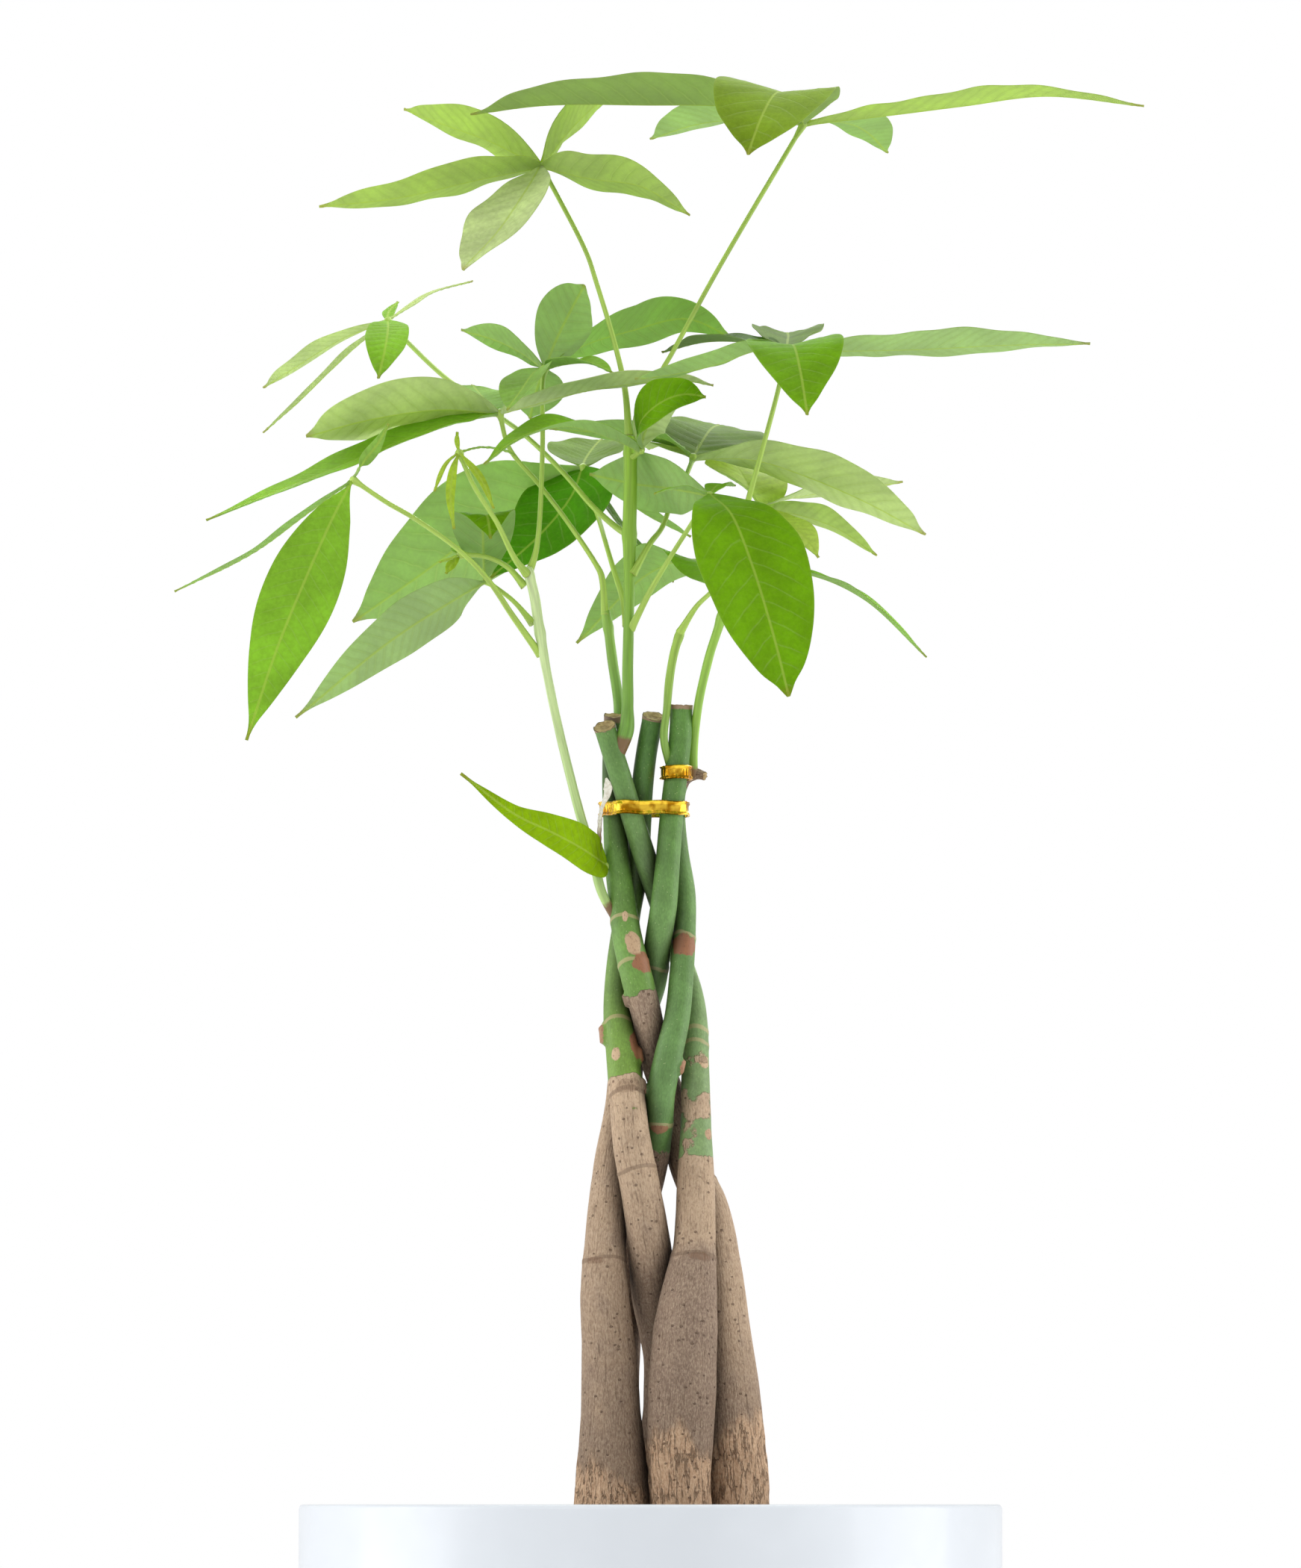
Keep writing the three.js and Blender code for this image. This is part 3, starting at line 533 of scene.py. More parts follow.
shade = times(soft_step(blotch, 0.3, 0.7, 0.86, 1.16), soft_step(grain, 0.3, 0.7, 0.86, 1.14))
green_dots = soft_step(cells(straight, 0.75), 0.07, 0.14, 1.0, 0.0)
own_green = brightened(kept("green", "Color"), shade)
green_skin = mix_colour(times(green_dots, 0.45), own_green, paint(178, 192, 132))

# %% [markdown]
# Lower down a warm grey-brown bark has spread over the green, ragged at its upper edge, with fine upright
# cracks. Just above the soil it flakes into plates, tan with darker gaps.

# %% Bark and flakes
bark_tone = mix_colour(soft_step(blotch, 0.36, 0.64), paint(180, 154, 128), paint(206, 178, 148))
# Partly painted shade: the bark is greyed and darkened by this share, which on the hidden stem stands for
# the shade it lies in.
dull_and_shade_share = times(ragged_share("dull_and_shade", 0.9, 0.25, 0.75), 0.75)
bark_tone = mix_colour(dull_and_shade_share, bark_tone, paint(128, 108, 95))
bark_tone = mix_colour(soft_step(grain, 0.46, 0.64, 0.0, 0.32), bark_tone, paint(222, 200, 172))
bark_tone = mix_colour(soft_step(grain, 0.34, 0.48, 0.4, 0.0), bark_tone, paint(110, 88, 72))
cracks = soft_step(lines, 0.32, 0.44, 1.0, 0.0)
bark_tone = mix_colour(times(cracks, 0.6), bark_tone, paint(106, 84, 66))
flaky = ragged_share("flaky", 0.9, 0.1, 0.95)
plate_field = noise(stretched(straight, (1.0, 1.0, 0.16)), 0.75, 4, 0.6)
plate_gaps = soft_step(without_sign(minus(plate_field, 0.5)), 0.0, 0.035, 1.0, 0.0)
flake_tone = mix_colour(soft_step(grain, 0.35, 0.65), paint(196, 158, 126), paint(226, 194, 160))
flake_tone = mix_colour(times(plate_gaps, 0.42), flake_tone, paint(126, 92, 68))
barked = ragged_share("bark_share", 1.6, 0.45, 0.55)
skin_tone = mix_colour(barked, green_skin, mix_colour(flaky, bark_tone, flake_tone))

# %% [markdown]
# Small dark warts sit in the bark. Rings and scars mark where leaves once grew: pale or rust-brown on the
# green skin, and worn and dull on the bark. The rim of a cut end has dried. Between the stems, in the
# creases of the braid, the skin is darkened by painted shade.

# %% Warts, rings, scars and painted crease shade
wart_cells = cells(stretched(straight, (1.0, 1.0, 1.4)), 0.36)
warts = times(soft_step(wart_cells, 0.1, 0.17, 1.0, 0.0), barked)
skin_tone = mix_colour(times(warts, 0.6), skin_tone, paint(98, 74, 56))
ring_tone = mix_colour(barked, paint(196, 172, 132), paint(118, 96, 78))
skin_tone = mix_colour(times(ragged_share("ring", 0.5, 0.5, 0.7), 0.5), skin_tone, ring_tone)
worn_off = times(barked, soft_step(grain, 0.42, 0.56, 0.85, 0.3))
scarred = times(ragged_share("scar", 0.9, 0.35, 0.6, grain), minus(1.0, worn_off))
scar_tone = mix_colour(kept("scar_pale"), paint(150, 102, 72), paint(198, 170, 136))
scar_tone = mix_colour(soft_step(grain, 0.52, 0.66, 0.0, 0.55), scar_tone, paint(110, 76, 54))
scar_tone = mix_colour(times(barked, 0.6), scar_tone, paint(104, 86, 70))
skin_tone = mix_colour(scarred, skin_tone, scar_tone)
dry_tone = mix_colour(blotch, paint(112, 88, 66), paint(176, 148, 120))
skin_tone = mix_colour(ragged_share("cut_rim", 0.7, 0.3, 0.6, grain), skin_tone, dry_tone)
# Painted shade: the skin is darkened in the creases between the stems, where little light reaches.
skin_tone = mix_colour(times(kept("crease"), 0.95), skin_tone, paint(70, 56, 40), "MULTIPLY")
roughness = soft_step(barked, 0.0, 1.0, 0.46, 0.85)
set_surface({"Base Color": skin_tone, "Roughness": roughness, "Specular IOR Level": 0.35})

# %% Relief of the bark
bark_height = times(plus(lines, times(grain, 0.5)), soft_step(barked, 0.0, 1.0, 0.1, 1.0))
bark_height = plus(bark_height, times(warts, 0.8))
bark_height = plus(bark_height, times(times(plate_gaps, flaky), -1.6))
add_bump(bark_height, 0.9, 0.7)
print("bark finish:", len(under_way.nodes), "nodes")

# %% [markdown]
# ## Cut ends, foil, paper, glaze and soil
# The stems were cut off above the tie, and their flat ends are dry and tan round a dark pith. The ties
# are thin gold foil over wire, crimped and glossy, with an end of bare paper. The pot has a smooth white
# glaze, slightly uneven. The soil is a dark, loose mix with small bits of bark in it.

# %% Cut wood, foil and paper
cut_wood = new_finish("cut_wood")
core = kept("core")
speckle = noise(object_place(), 900, 4)
wood_tone = mix_colour(soft_step(speckle, 0.3, 0.7), paint(150, 124, 84), paint(192, 168, 122))
wood_tone = mix_colour(soft_step(core, 0.25, 0.45, 1.0, 0.0), wood_tone, paint(74, 54, 36))
wood_tone = mix_colour(soft_step(core, 0.86, 0.97), wood_tone, paint(92, 84, 48))
set_surface({"Base Color": wood_tone, "Roughness": 0.9})
add_bump(speckle, 0.6, 0.3)

gold_foil = new_finish("gold_foil")
creases = noise(object_place(), 300, 2, 0.5)
# Painted shade and highlight: the foil is darker in the hollows of its crinkles and brighter on their
# ridges, on the same pattern as its bump.
foil_shade_and_highlight = mix_colour(soft_step(creases, 0.38, 0.6), paint(168, 116, 14), paint(250, 206, 66))
set_surface({"Base Color": foil_shade_and_highlight, "Metallic": 1.0, "Roughness": 0.26})
add_bump(plus(creases, times(cells(object_place(), 620), 0.15)), 0.6, 0.5)

tie_paper = new_finish("tie_paper")
fibres = noise(object_place(), 1500, 4)
paper_tone = mix_colour(soft_step(fibres, 0.35, 0.7), paint(236, 232, 222), paint(212, 204, 188))
paper_tone = mix_colour(soft_step(kept("browned"), 0.3, 0.8), paper_tone, paint(130, 96, 60))
set_surface({"Base Color": paper_tone, "Roughness": 0.85})
add_bump(fibres, 0.4, 0.15)

# %% Glaze and soil
white_glaze = new_finish("white_glaze")
pool = noise(object_place(), 18, 3)
pinholes = noise(object_place(), 260, 2)
glaze_tone = mix_colour(soft_step(pool, 0.35, 0.65), paint(210, 215, 221), paint(216, 221, 227))
set_surface({"Base Color": glaze_tone, "Roughness": soft_step(pinholes, 0.3, 0.7, 0.3, 0.4)})
set_surface({"Coat Weight": 0.25, "Coat Roughness": 0.12})
add_bump(plus(pool, times(pinholes, 0.04)), 0.25, 0.4)

soil_mix = new_finish("soil_mix")
clods = noise(object_place(), 170, 5, 0.65)
fibre = noise(object_place(), 700, 4)
soil_tone = mix_colour(soft_step(clods, 0.3, 0.7), paint(38, 26, 18), paint(92, 68, 46))
soil_tone = mix_colour(soft_step(fibre, 0.6, 0.75, 0.0, 0.6), soil_tone, paint(128, 98, 66))
set_surface({"Base Color": soil_tone, "Roughness": 0.95})
add_bump(plus(clods, times(fibre, 0.4)), 1.0, 1.6)

bark_chip = new_finish("bark_chip")
chip_lines = noise(stretched(object_place(), (1, 1, 0.3)), 650, 4)
chip_tone = mix_colour(soft_step(chip_lines, 0.3, 0.7), paint(70, 46, 30), paint(140, 102, 66))
set_surface({"Base Color": chip_tone, "Roughness": 0.9})
add_bump(chip_lines, 0.9, 0.6)
print("finishes:", len(bpy.data.materials))

# %% [markdown]
# ## Paths of the stems and shoots
# Each row is a place in millimetres and the radius there: x to the right, y away from the viewer, z up
# from the pot's base. The stems start in the soil, swell just above it, and cross one another as they
# rise.

# %% Stem rows
STEMS = {
    "stem_left": [
        (-9.3, -4, 112, 9.5), (-9.3, -4, 150, 10.4), (-9.3, -4, 164, 10.2), (-9.7, -4.6, 175, 9),
        (-10.1, -5.5, 188, 7.6), (-10.7, -5.5, 205, 6.7), (-11.6, -5, 218, 6.1), (-11.5, -4, 230, 5.2),
        (-9.5, -0.5, 250, 5.1), (-7.2, 2.4, 264, 4.7), (-5.6, 5.6, 279, 4.1), (-2.6, 5.2, 289, 3.8),
        (0.4, 3, 297, 3.5), (2, -1.4, 308, 3.4), (3.4, -4.2, 317, 3.4), (4.4, -4.8, 328, 3.1),
        (5.4, -3.2, 340, 3), (6.6, -2.6, 351, 2.9), (7.6, -2.2, 360, 2.9), (7.9, -2, 368, 2.8),
    ],
    "stem_back": [
        (4.6, 9, 112, 7), (4.6, 9, 164, 7), (4.3, 8, 181, 7), (4.6, 7.5, 190, 6.4), (4.2, 5.6, 203, 6),
        (1.2, 2.4, 218, 6), (-0.2, -5, 230, 5.5), (-2.2, -8.6, 243, 5.1), (-4.7, -9.2, 256, 4.9),
        (-6, -7.6, 268, 4.5), (-7.2, -4, 279, 4.1), (-8.3, -0.2, 289, 3.7), (-7.8, 3.6, 301, 3.5),
        (-5.8, 5.5, 315, 3.3), (-3.6, 5.1, 326, 3.1), (-2.6, 2.1, 338, 2.8), (-2.2, 1, 346, 2.8),
        (-1, 0.6, 356, 2.7), (0.9, 0.5, 366, 2.7),
    ],
    "stem_front": [
        (7.7, -11, 112, 7), (7.7, -11, 164, 7.5), (7.4, -10, 178, 8.2), (8, -9.6, 194, 8.7),
        (8.8, -9.5, 209, 8.2), (9.8, -9, 219, 7), (11, -8, 230, 5.4), (11.4, -5.8, 246, 4.8),
        (11.5, -2.2, 260, 3.9), (11.4, 0, 275, 3.5), (11.4, 2.4, 287, 3.1), (10.6, 4.6, 294, 2.9),
        (8.6, 7, 301, 2.8), (5.6, 8, 309, 2.9), (2.2, 4.9, 319, 3), (-1.1, -2, 328, 2.9),
        (-4.3, -4.2, 338, 2.8), (-7, -5.6, 347, 2.8), (-9.5, -6, 355, 2.75), (-12, -6, 363, 2.75),
    ],
    "stem_right": [
        (21.6, 2, 112, 8), (21.6, 2, 164, 8.6), (20.8, 2.2, 177, 8.5), (19.6, 3, 195, 7.9),
        (18.2, 3.4, 209, 7.2), (16.8, 3.5, 226, 6.2), (14.4, 4.4, 240, 5.5), (10, 6.6, 250, 4.9),
        (7.4, 7.4, 258, 4.5), (5.2, 5.6, 267, 4.2), (0.9, 0.2, 279, 3.9), (-0.8, -3.4, 288, 3.9),
        (-3.2, -5, 297, 4.1), (-5.8, -3.8, 308, 3.8), (-7.2, -1.6, 318, 3.4), (-8.4, 0, 328, 3.2),
        (-9.1, 0, 339, 2.9), (-9.6, -0.2, 351, 2.7), (-9, 0.4, 366, 2.7),
    ],
    "stem_hidden": [
        (-9, 13.6, 112, 6.4), (-9, 13.6, 164, 6.5), (-9, 12.4, 190, 6), (-7.8, 12.8, 209, 5.6),
        (-5.6, 12, 218, 5.4), (-4.6, 7.8, 230, 5), (-3, 6.2, 240, 4.7), (-0.4, 5.4, 249, 4.3),
        (1.6, -2, 260, 4), (2.6, -6.2, 269, 3.7), (4.7, -7.6, 279, 3.6), (6.7, -6, 288, 3.3),
        (7.9, -2.6, 300, 3.1), (8.5, 1, 311, 3), (8.4, 2.6, 320, 3), (6.7, 3.4, 331, 2.9),
        (6, 4.2, 341, 2.8), (6.6, 4.6, 346, 2.4), (8.6, 4, 349.6, 1.9), (11.4, 3, 350.6, 1.6),
        (14, 2.4, 350, 1),
    ],
}

# %% Shoot rows
SHOOTS = {
    "shoot_tall": [
        (-8.5, -6, 355, 2), (-6.2, -6.5, 361, 2), (-5.8, -6, 367, 1.5), (-5.8, -5, 376, 1.4),
        (-5.6, -4, 387, 1.35), (-5.4, -3, 401, 1.4), (-5.4, -3.5, 411, 1.8), (-5.2, -4, 422, 1.75),
        (-5.2, -4, 432, 1.7), (-5.4, -3.5, 436, 1.4),
    ],
    "shoot_left": [
        (-8, -2, 312, 1.2), (-12.4, -4, 320, 1.2), (-14.5, -4, 328.5, 1.3), (-17.7, -5, 339, 1.2),
        (-22.3, -5, 357, 1.15), (-26, -4, 374, 1.1), (-28.2, -4, 386.5, 1.3), (-29.5, -4, 395, 1.3),
        (-31.3, -4, 402.5, 1.2),
    ],
    "shoot_short": [
        (-8, 2, 361, 1.4), (-8.2, 4, 369, 1.3), (-9.8, 2, 380, 1.3), (-10.8, 1, 388, 1.2),
        (-11.5, 0, 392, 1.2),
    ],
    "shoot_middle": [
        (5, -2, 352, 1), (3.4, -5.4, 359, 1), (4.1, -4.5, 366, 1), (4.8, -4, 374, 1.1),
        (6, -5, 381, 1.1), (7.7, -6, 386.5, 1),
    ],
    "shoot_right": [
        (10.9, 2.6, 350, 1.2), (10.9, 0.8, 357, 1.2), (12.2, -4.4, 368, 1.1), (15, -9, 380, 1.1),
        (18, -11, 389.5, 1.15), (21.5, -13, 405, 1.2),
    ],
}
print("stems", len(STEMS), "shoots", len(SHOOTS))

# %% [markdown]
# ## Selecting by place
# An operator in edit mode works on what is selected. Edges and faces are picked here by where they lie or
# which way they look, so that the same lines give the same piece every time.

# %% Selecting edges and faces
def clear_selection(mesh):
    for items in (mesh.vertices, mesh.edges, mesh.polygons):
        items.foreach_set("select", [False] * len(items))


def edit_edges(piece, wanted):
    select_only(piece)
    bpy.context.tool_settings.mesh_select_mode = (False, True, False)
    clear_selection(piece.data)
    for edge in piece.data.edges:
        first, second = (piece.data.vertices[i].co for i in edge.vertices)
        edge.select = bool(wanted(first, second))
    bpy.ops.object.mode_set(mode="EDIT")


def edit_faces(piece, wanted):
    select_only(piece)
    bpy.context.tool_settings.mesh_select_mode = (False, False, True)
    clear_selection(piece.data)
    for face in piece.data.polygons:
        face.select = bool(wanted(face.center, face.normal))
    bpy.ops.object.mode_set(mode="EDIT")


def leave_edit():
    bpy.ops.object.mode_set(mode="OBJECT")


# %% [markdown]
# ## Rods
# A stem, a shoot and a leaf stalk are all round rods that bend and taper. The straight rod is a cylinder
# one unit high whose upright edges are subdivided into rings, and whose two end faces are inset. It is
# then carried onto a path, ring by ring. Bending a straight rod keeps its sides in line, so that bark
# lines follow it.

# %% The straight rod
END_INSETS = (0.16, 0.2, 0.26)


def add_cylinder(name, sides, radius, low, high):
    """A closed cylinder that stands between two heights, with its object at the origin."""
    piece = add_primitive(bpy.ops.mesh.primitive_cylinder_add, name, vertices=sides, radius=radius,
                          depth=high - low, location=(0, 0, (low + high) / 2))
    bpy.ops.object.transform_apply(location=True, rotation=False, scale=False)
    return piece


def cut_into_rings(piece, cuts):
    """Cut the upright edges of a cylinder, so that it can bend and swell ring by ring."""
    edit_edges(piece, lambda a, b: abs(a.z - b.z) > 0.5)
    bpy.ops.mesh.subdivide_edgering(number_cuts=cuts, interpolation="LINEAR")
    leave_edit()


def straight_rod(name, sides, rings):
    rod = add_cylinder(name, sides, 1, 0, 1)
    cut_into_rings(rod, rings - 1)
    edit_faces(rod, lambda centre, normal: abs(normal.z) > 0.9)
    for inset in END_INSETS:
        bpy.ops.mesh.inset(thickness=inset)
    leave_edit()
    return rod


stem_form = straight_rod("stem_form", 64, 320)
shoot_form = straight_rod("shoot_form", 16, 70)
stalk_form = straight_rod("stalk_form", 12, 48)
print("rods:", [(rod.name, len(rod.data.polygons)) for rod in (stem_form, shoot_form, stalk_form)])


# %% Where a rod's corners go on its path
def levels_on(path, shares):
    """Places and directions at each level of a form on its path, and the level that each corner is on."""
    levels, level_of = np.unique(shares, return_inverse=True)
    spots, ways = rows_along(smooth_path(path), levels)
    return spots, ways, level_of


class RodPlaces:
    """Where each corner of a straight rod goes on its path, in millimetres, before any relief is added."""

    def __init__(self, rod, path, radii):
        flat = corners_of(rod)
        self.share = np.round(flat[:, 2], 5)
        self.reach = np.hypot(flat[:, 0], flat[:, 1])
        self.turn = np.arctan2(flat[:, 1], flat[:, 0])
        self.on_top = (self.reach < 0.99) & (self.share > 0.5)
        self.radius = np.interp(self.share * (len(radii) - 1), range(len(radii)), radii)
        spots, ways, ring = levels_on(path, self.share)
        run = run_along(as_rows(spots))
        self.length, self.along = run[-1], run[ring]
        columns = (spots, ways, *carried_frames(ways))
        self.spot, self.way, across, other = (as_rows(column)[ring] for column in columns)
        self.outward = across * np.cos(self.turn)[:, None] + other * np.sin(self.turn)[:, None]

    def carried(self, relief, lift):
        """The corners on their path, moved outwards by the relief and along the path by the lift."""
        grown = (self.radius + relief) * self.reach
        return self.spot + self.outward * grown[:, None] + self.way * lift[:, None]

    def at_reach(self, radius):
        """A point at the given distance from the middle of the rod, in the direction of each corner."""
        return self.spot + self.outward * np.asarray(radius)[:, None]

    def straightened(self):
        """The corners as if the rod still stood straight, at its full length and thickness."""
        wide = self.radius * self.reach
        return np.stack([wide * np.cos(self.turn), wide * np.sin(self.turn), self.along], axis=1)

    def domed(self, rise):
        """A lift that rounds the top end."""
        return np.where(self.on_top, (1 - self.reach**2) * rise, 0.0)

# %% [markdown]
# ## Relief of the stems
# Slow waves make each stem a little uneven. Round it run raised rings where leaves once stood, with oval
# scars beside them, and the lowest part, near the soil, has flaked into upright plates. The heights of
# rings and scars are read from the photograph. A scar's turn is its angle round the stem from the side
# that faces the viewer.

# %% Rings and scars
RINGS = {
    "stem_left": [301.6, 226.5],
    "stem_back": [286.8, 268.5, 249.6],
    "stem_front": [285, 281.6, 227.5],
    "stem_right": [313, 302, 246],
    "stem_hidden": [308.8, 262.2, 240],
}
# Each scar: its place by height and turn in degrees, its width and height, how far it stands out, how pale.
SCARS = {
    "stem_left": [(226, -25, 4.6, 1.6, 0.1, 0)],
    "stem_back": [(284.3, -88, 3.4, 5, 1.3, 0.3), (280, 62, 4, 7, 0.2, 0), (278, 86, 2.6, 4, 1.1, 0),
                  (277.6, -26, 2.6, 3.4, 0.1, 1), (270.5, 84, 2.4, 3, 0.9, 0),
                  (269.5, 5, 7, 3.4, 0.15, 0.5)],
    "stem_front": [(276.5, 40, 3, 3.4, 0.2, 1), (227, 18, 5.6, 2, 0.15, 0), (258, 55, 3, 3, 0.1, 0.6)],
    "stem_right": [(313, 2, 1.6, 2.6, 0.1, 1), (306, 18, 4.2, 6.4, 0.15, 0.8), (301.1, 38, 5.6, 5.2, 0.2, 0),
                   (293.4, -84, 3, 3.4, 0.9, 0.9)],
    "stem_hidden": [(305.8, 5, 7.4, 5.6, 0.12, 0), (276.4, 84, 3, 3.6, 1.1, 0.2),
                    (269, -80, 2.4, 3, 1.2, 0.4), (261.6, 8, 5.4, 2, 0.1, 0.2)],
}

# %% Bark, greens and cut ends of the stems
# Each row: height and share of bark.
BARKED = {
    "stem_left": [(230, 1), (280, 1), (286, 0), (370, 0)],
    "stem_back": [(230, 1), (262, 1), (264, 0.62), (266, 1), (270, 1), (273.5, 0), (370, 0)],
    "stem_front": [(240, 1), (249, 1), (253, 0.2), (257, 0.4), (261, 0.34), (264, 0.66), (267.5, 0.66),
                   (270.5, 0.28), (277, 0.38), (282, 0), (370, 0)],
    "stem_right": [(240, 1), (293.5, 1), (296.5, 0), (370, 0)],
    "stem_hidden": [(240, 1), (252, 1), (259, 0.1), (262, 0), (347, 0), (349, 1)],
}
# The green of each stem above its bark, low and high on the stem.
STEM_GREENS = {
    "stem_left": ((118, 154, 90), (90, 130, 60)),
    "stem_back": ((116, 148, 62), (84, 124, 60)),
    "stem_front": ((124, 150, 98), (98, 134, 70)),
    "stem_right": ((118, 158, 72), (84, 120, 54)),
    "stem_hidden": ((98, 134, 74), (100, 138, 70)),
}
# How grey and dark the bark is, by height: partly the bark's own duller grey, partly painted shade. The
# hidden stem, behind the others, is darkened all along as painted shade.
DULLED_AND_SHADED = {
    "stem_left": [(180, 0.6), (230, 0.45), (290, 0.35)],
    "stem_back": [(180, 0.8), (225, 0.6), (240, 0.4), (275, 0.2)],
    "stem_front": [(180, 0.7), (205, 0.85), (225, 0.75), (232, 0.35), (290, 0.25)],
    "stem_right": [(190, 0.6), (215, 0.35), (285, 0.6), (300, 0.7)],
    "stem_hidden": [(180, 0.8), (300, 0.8)],
}
# The height up to which the bark has flaked, and the side, as a turn in degrees, where that is higher.
FLAKED = {
    "stem_left": (176, -90), "stem_back": (180, 0), "stem_front": (181, -20), "stem_right": (185, 70),
    "stem_hidden": (180, 0),
}
# The cut ends slope. Each number says by how much the side that faces the viewer is lower.
CUT_SLOPES = {"stem_left": 0.5, "stem_back": 2.2, "stem_front": 2.6, "stem_right": 1.6, "stem_hidden": 0.4}


# %% Scars and painted crease shade
# How far from another stem the painted crease shade reaches, in millimetres, and how steeply it deepens.
NO_STEM_NEAR, CREASE_SHADE_WIDTH, CREASE_SHADE_DEEPENS = 99.0, 5, 1.3


def scars_on(name, facing, height, radius, frayed):
    """Where a stem is scarred, how pale it is there and how far it stands out."""
    scarred, pale, raised = (np.zeros(len(height)) for _ in range(3))
    for z, turn, width, tall, stands_out, paleness in SCARS[name]:
        away = (facing - turn + 180) % 360 - 180
        sideways = np.radians(away) * radius / (width / 2)
        share = np.clip(1.25 - np.hypot(sideways, (height - z) / (tall / 2)) + frayed, 0, 0.5) * 2
        raised = np.maximum(raised, share * stands_out)
        pale = np.where(share > scarred, paleness, pale)
        scarred = np.maximum(scarred, share)
    return scarred, pale, raised


def crease_share(name, spots):
    """How much painted shade each place gets in the creases between this stem and the others, 0 to 1: the
    closer the other stems, the darker.
    """
    gap = np.full(len(spots), NO_STEM_NEAR)
    for other, rows in STEMS.items():
        if other != name:
            x, y, z, radius = np.array(rows).T
            at = [np.interp(spots[:, 2], z, column) for column in (x, y, radius)]
            gap = np.minimum(gap, np.hypot(spots[:, 0] - at[0], spots[:, 1] - at[1]) - at[2])
    return np.clip(1 - gap / CREASE_SHADE_WIDTH, 0, 1) ** CREASE_SHADE_DEEPENS


# %% The whole relief of a stem
RING_WIDTH, RING_STANDS_OUT, RING_SWAY = 0.7, 0.16, 0.5
SLOW_WAVE_SHARE, FINE_BUMP = 0.035, 0.07
PLATE_STANDS_OUT, PLATE_GAP_DEPTH, PLATE_GAP_WIDTH = 0.25, 0.55, 0.35
FLAKES_END_OVER, FLAKES_UNEVEN_BY = 7, 6


def stem_relief(name, places, seed):
    """How far the skin of a stem stands out at each corner, and what its finish has to know there."""
    height = places.spot[:, 2]
    facing = np.degrees(np.arctan2(places.outward[:, 0], -places.outward[:, 1]))
    straight = places.straightened()
    barked = read_off(BARKED[name], height)
    slow = bumps(straight * (1, 1, 0.3), 9, seed) * SLOW_WAVE_SHARE * places.radius
    fine = bumps(straight * (1, 1, 0.2), 1.3, seed + 60) * FINE_BUMP * (0.2 + barked)
    wavy = [height - z + RING_SWAY * np.sin(np.radians(facing * 2 + z)) for z in RINGS[name]]
    ringed = sum(bell(away, RING_WIDTH) for away in wavy)
    frayed = bumps(straight, 1.6, seed + 80) * 0.3
    scarred, pale, raised = scars_on(name, facing, height, places.radius, frayed)
    plates = bumps(straight * (1, 1, 0.16), 1.7, seed + 20)
    cracked = 1 - ramp(np.abs(plates), 0, PLATE_GAP_WIDTH)
    flaked_to, higher_side = FLAKED[name]
    uneven = np.cos(np.radians(facing - higher_side)) + bumps(straight * (1, 1, 0.3), 4, seed + 40)
    near_soil = ramp(flaked_to + uneven * FLAKES_UNEVEN_BY - height, 0, FLAKES_END_OVER)
    flakes = near_soil * (PLATE_STANDS_OUT - cracked * PLATE_GAP_DEPTH)
    relief = slow + ringed * RING_STANDS_OUT + raised + flakes + fine
    return relief, {"scar": scarred, "scar_pale": pale, "ring": np.clip(ringed, 0, 1), "flaky": near_soil,
                    "bark_share": barked, "dull_and_shade": read_off(DULLED_AND_SHADED[name], height)}


# %% [markdown]
# ## The five stems
# Each stem is a copy of the straight rod on its own path. The paths cross in front of and behind one
# another as the real stems do, so the braid comes out by itself. The upper end was cut off at a slight
# slope, and its pith has sunk. So the points of the end face are let down a little in the middle and
# towards one side.

# %% Cut ends
END_FROM, TOP_RING = 0.985, 0.9999
PITH_DEPTH, CUT_ROUGHNESS, RIM_ROUGHNESS, RIM_SWELLING = 0.7, 0.22, 0.35, 0.16


def cut_end(name, places, seed):
    """How near each corner is to the cut end, 0 to 1, and how far it is let down there."""
    near_end = ramp(places.share, END_FROM, 1)
    rough = bumps(places.at_reach(places.reach * 3), 1.1, seed)
    pith = rough * CUT_ROUGHNESS - PITH_DEPTH * np.clip(1 - places.reach * 1.6, 0, 1)
    sunk = np.where(places.on_top, pith, 0.0)
    sunk = np.where((places.share > TOP_RING) & ~places.on_top, rough * RIM_ROUGHNESS, sunk)
    frontward = -places.outward[:, 1] * places.reach
    return near_end, sunk - (frontward + 0.6) / 1.6 * CUT_SLOPES[name] * near_end


# %% Stems
GREEN_CHANGES_FROM, GREEN_CHANGES_TO = 270, 350
DRY_RIM_FROM, DRY_RIM_TO = 0.988, 0.996


def make_stem(name, seed):
    stem = copy_of(stem_form, name + "_fine")
    places = RodPlaces(stem, STEMS[name], [r[3] for r in STEMS[name]])
    relief, shares = stem_relief(name, places, seed)
    near_end, sunk = cut_end(name, places, seed)
    rise = ramp(places.spot[:, 2], GREEN_CHANGES_FROM, GREEN_CHANGES_TO)
    set_corners(stem, places.carried(relief + near_end * RIM_SWELLING, sunk) * MM)
    # Among what is kept is the painted shade in the creases between the stems.
    keep_on_points(stem, **shares, core=places.reach, straight_place=places.straightened() + seed * 31,
                   green=blended_paint(*STEM_GREENS[name], rise),
                   crease=crease_share(name, places.at_reach(places.radius)),
                   cut_rim=ramp(places.share, DRY_RIM_FROM, DRY_RIM_TO))
    stem.data.materials.append(bark_skin)
    stem.data.materials.append(cut_wood)
    at_cut = places.on_top | (places.share > TOP_RING)
    for face in stem.data.polygons:
        face.material_index = int(all(at_cut[i] for i in face.vertices))
    stand_in(stem, name, 60)


for number, stem_name in enumerate(STEMS):
    make_stem(stem_name, number + 1)

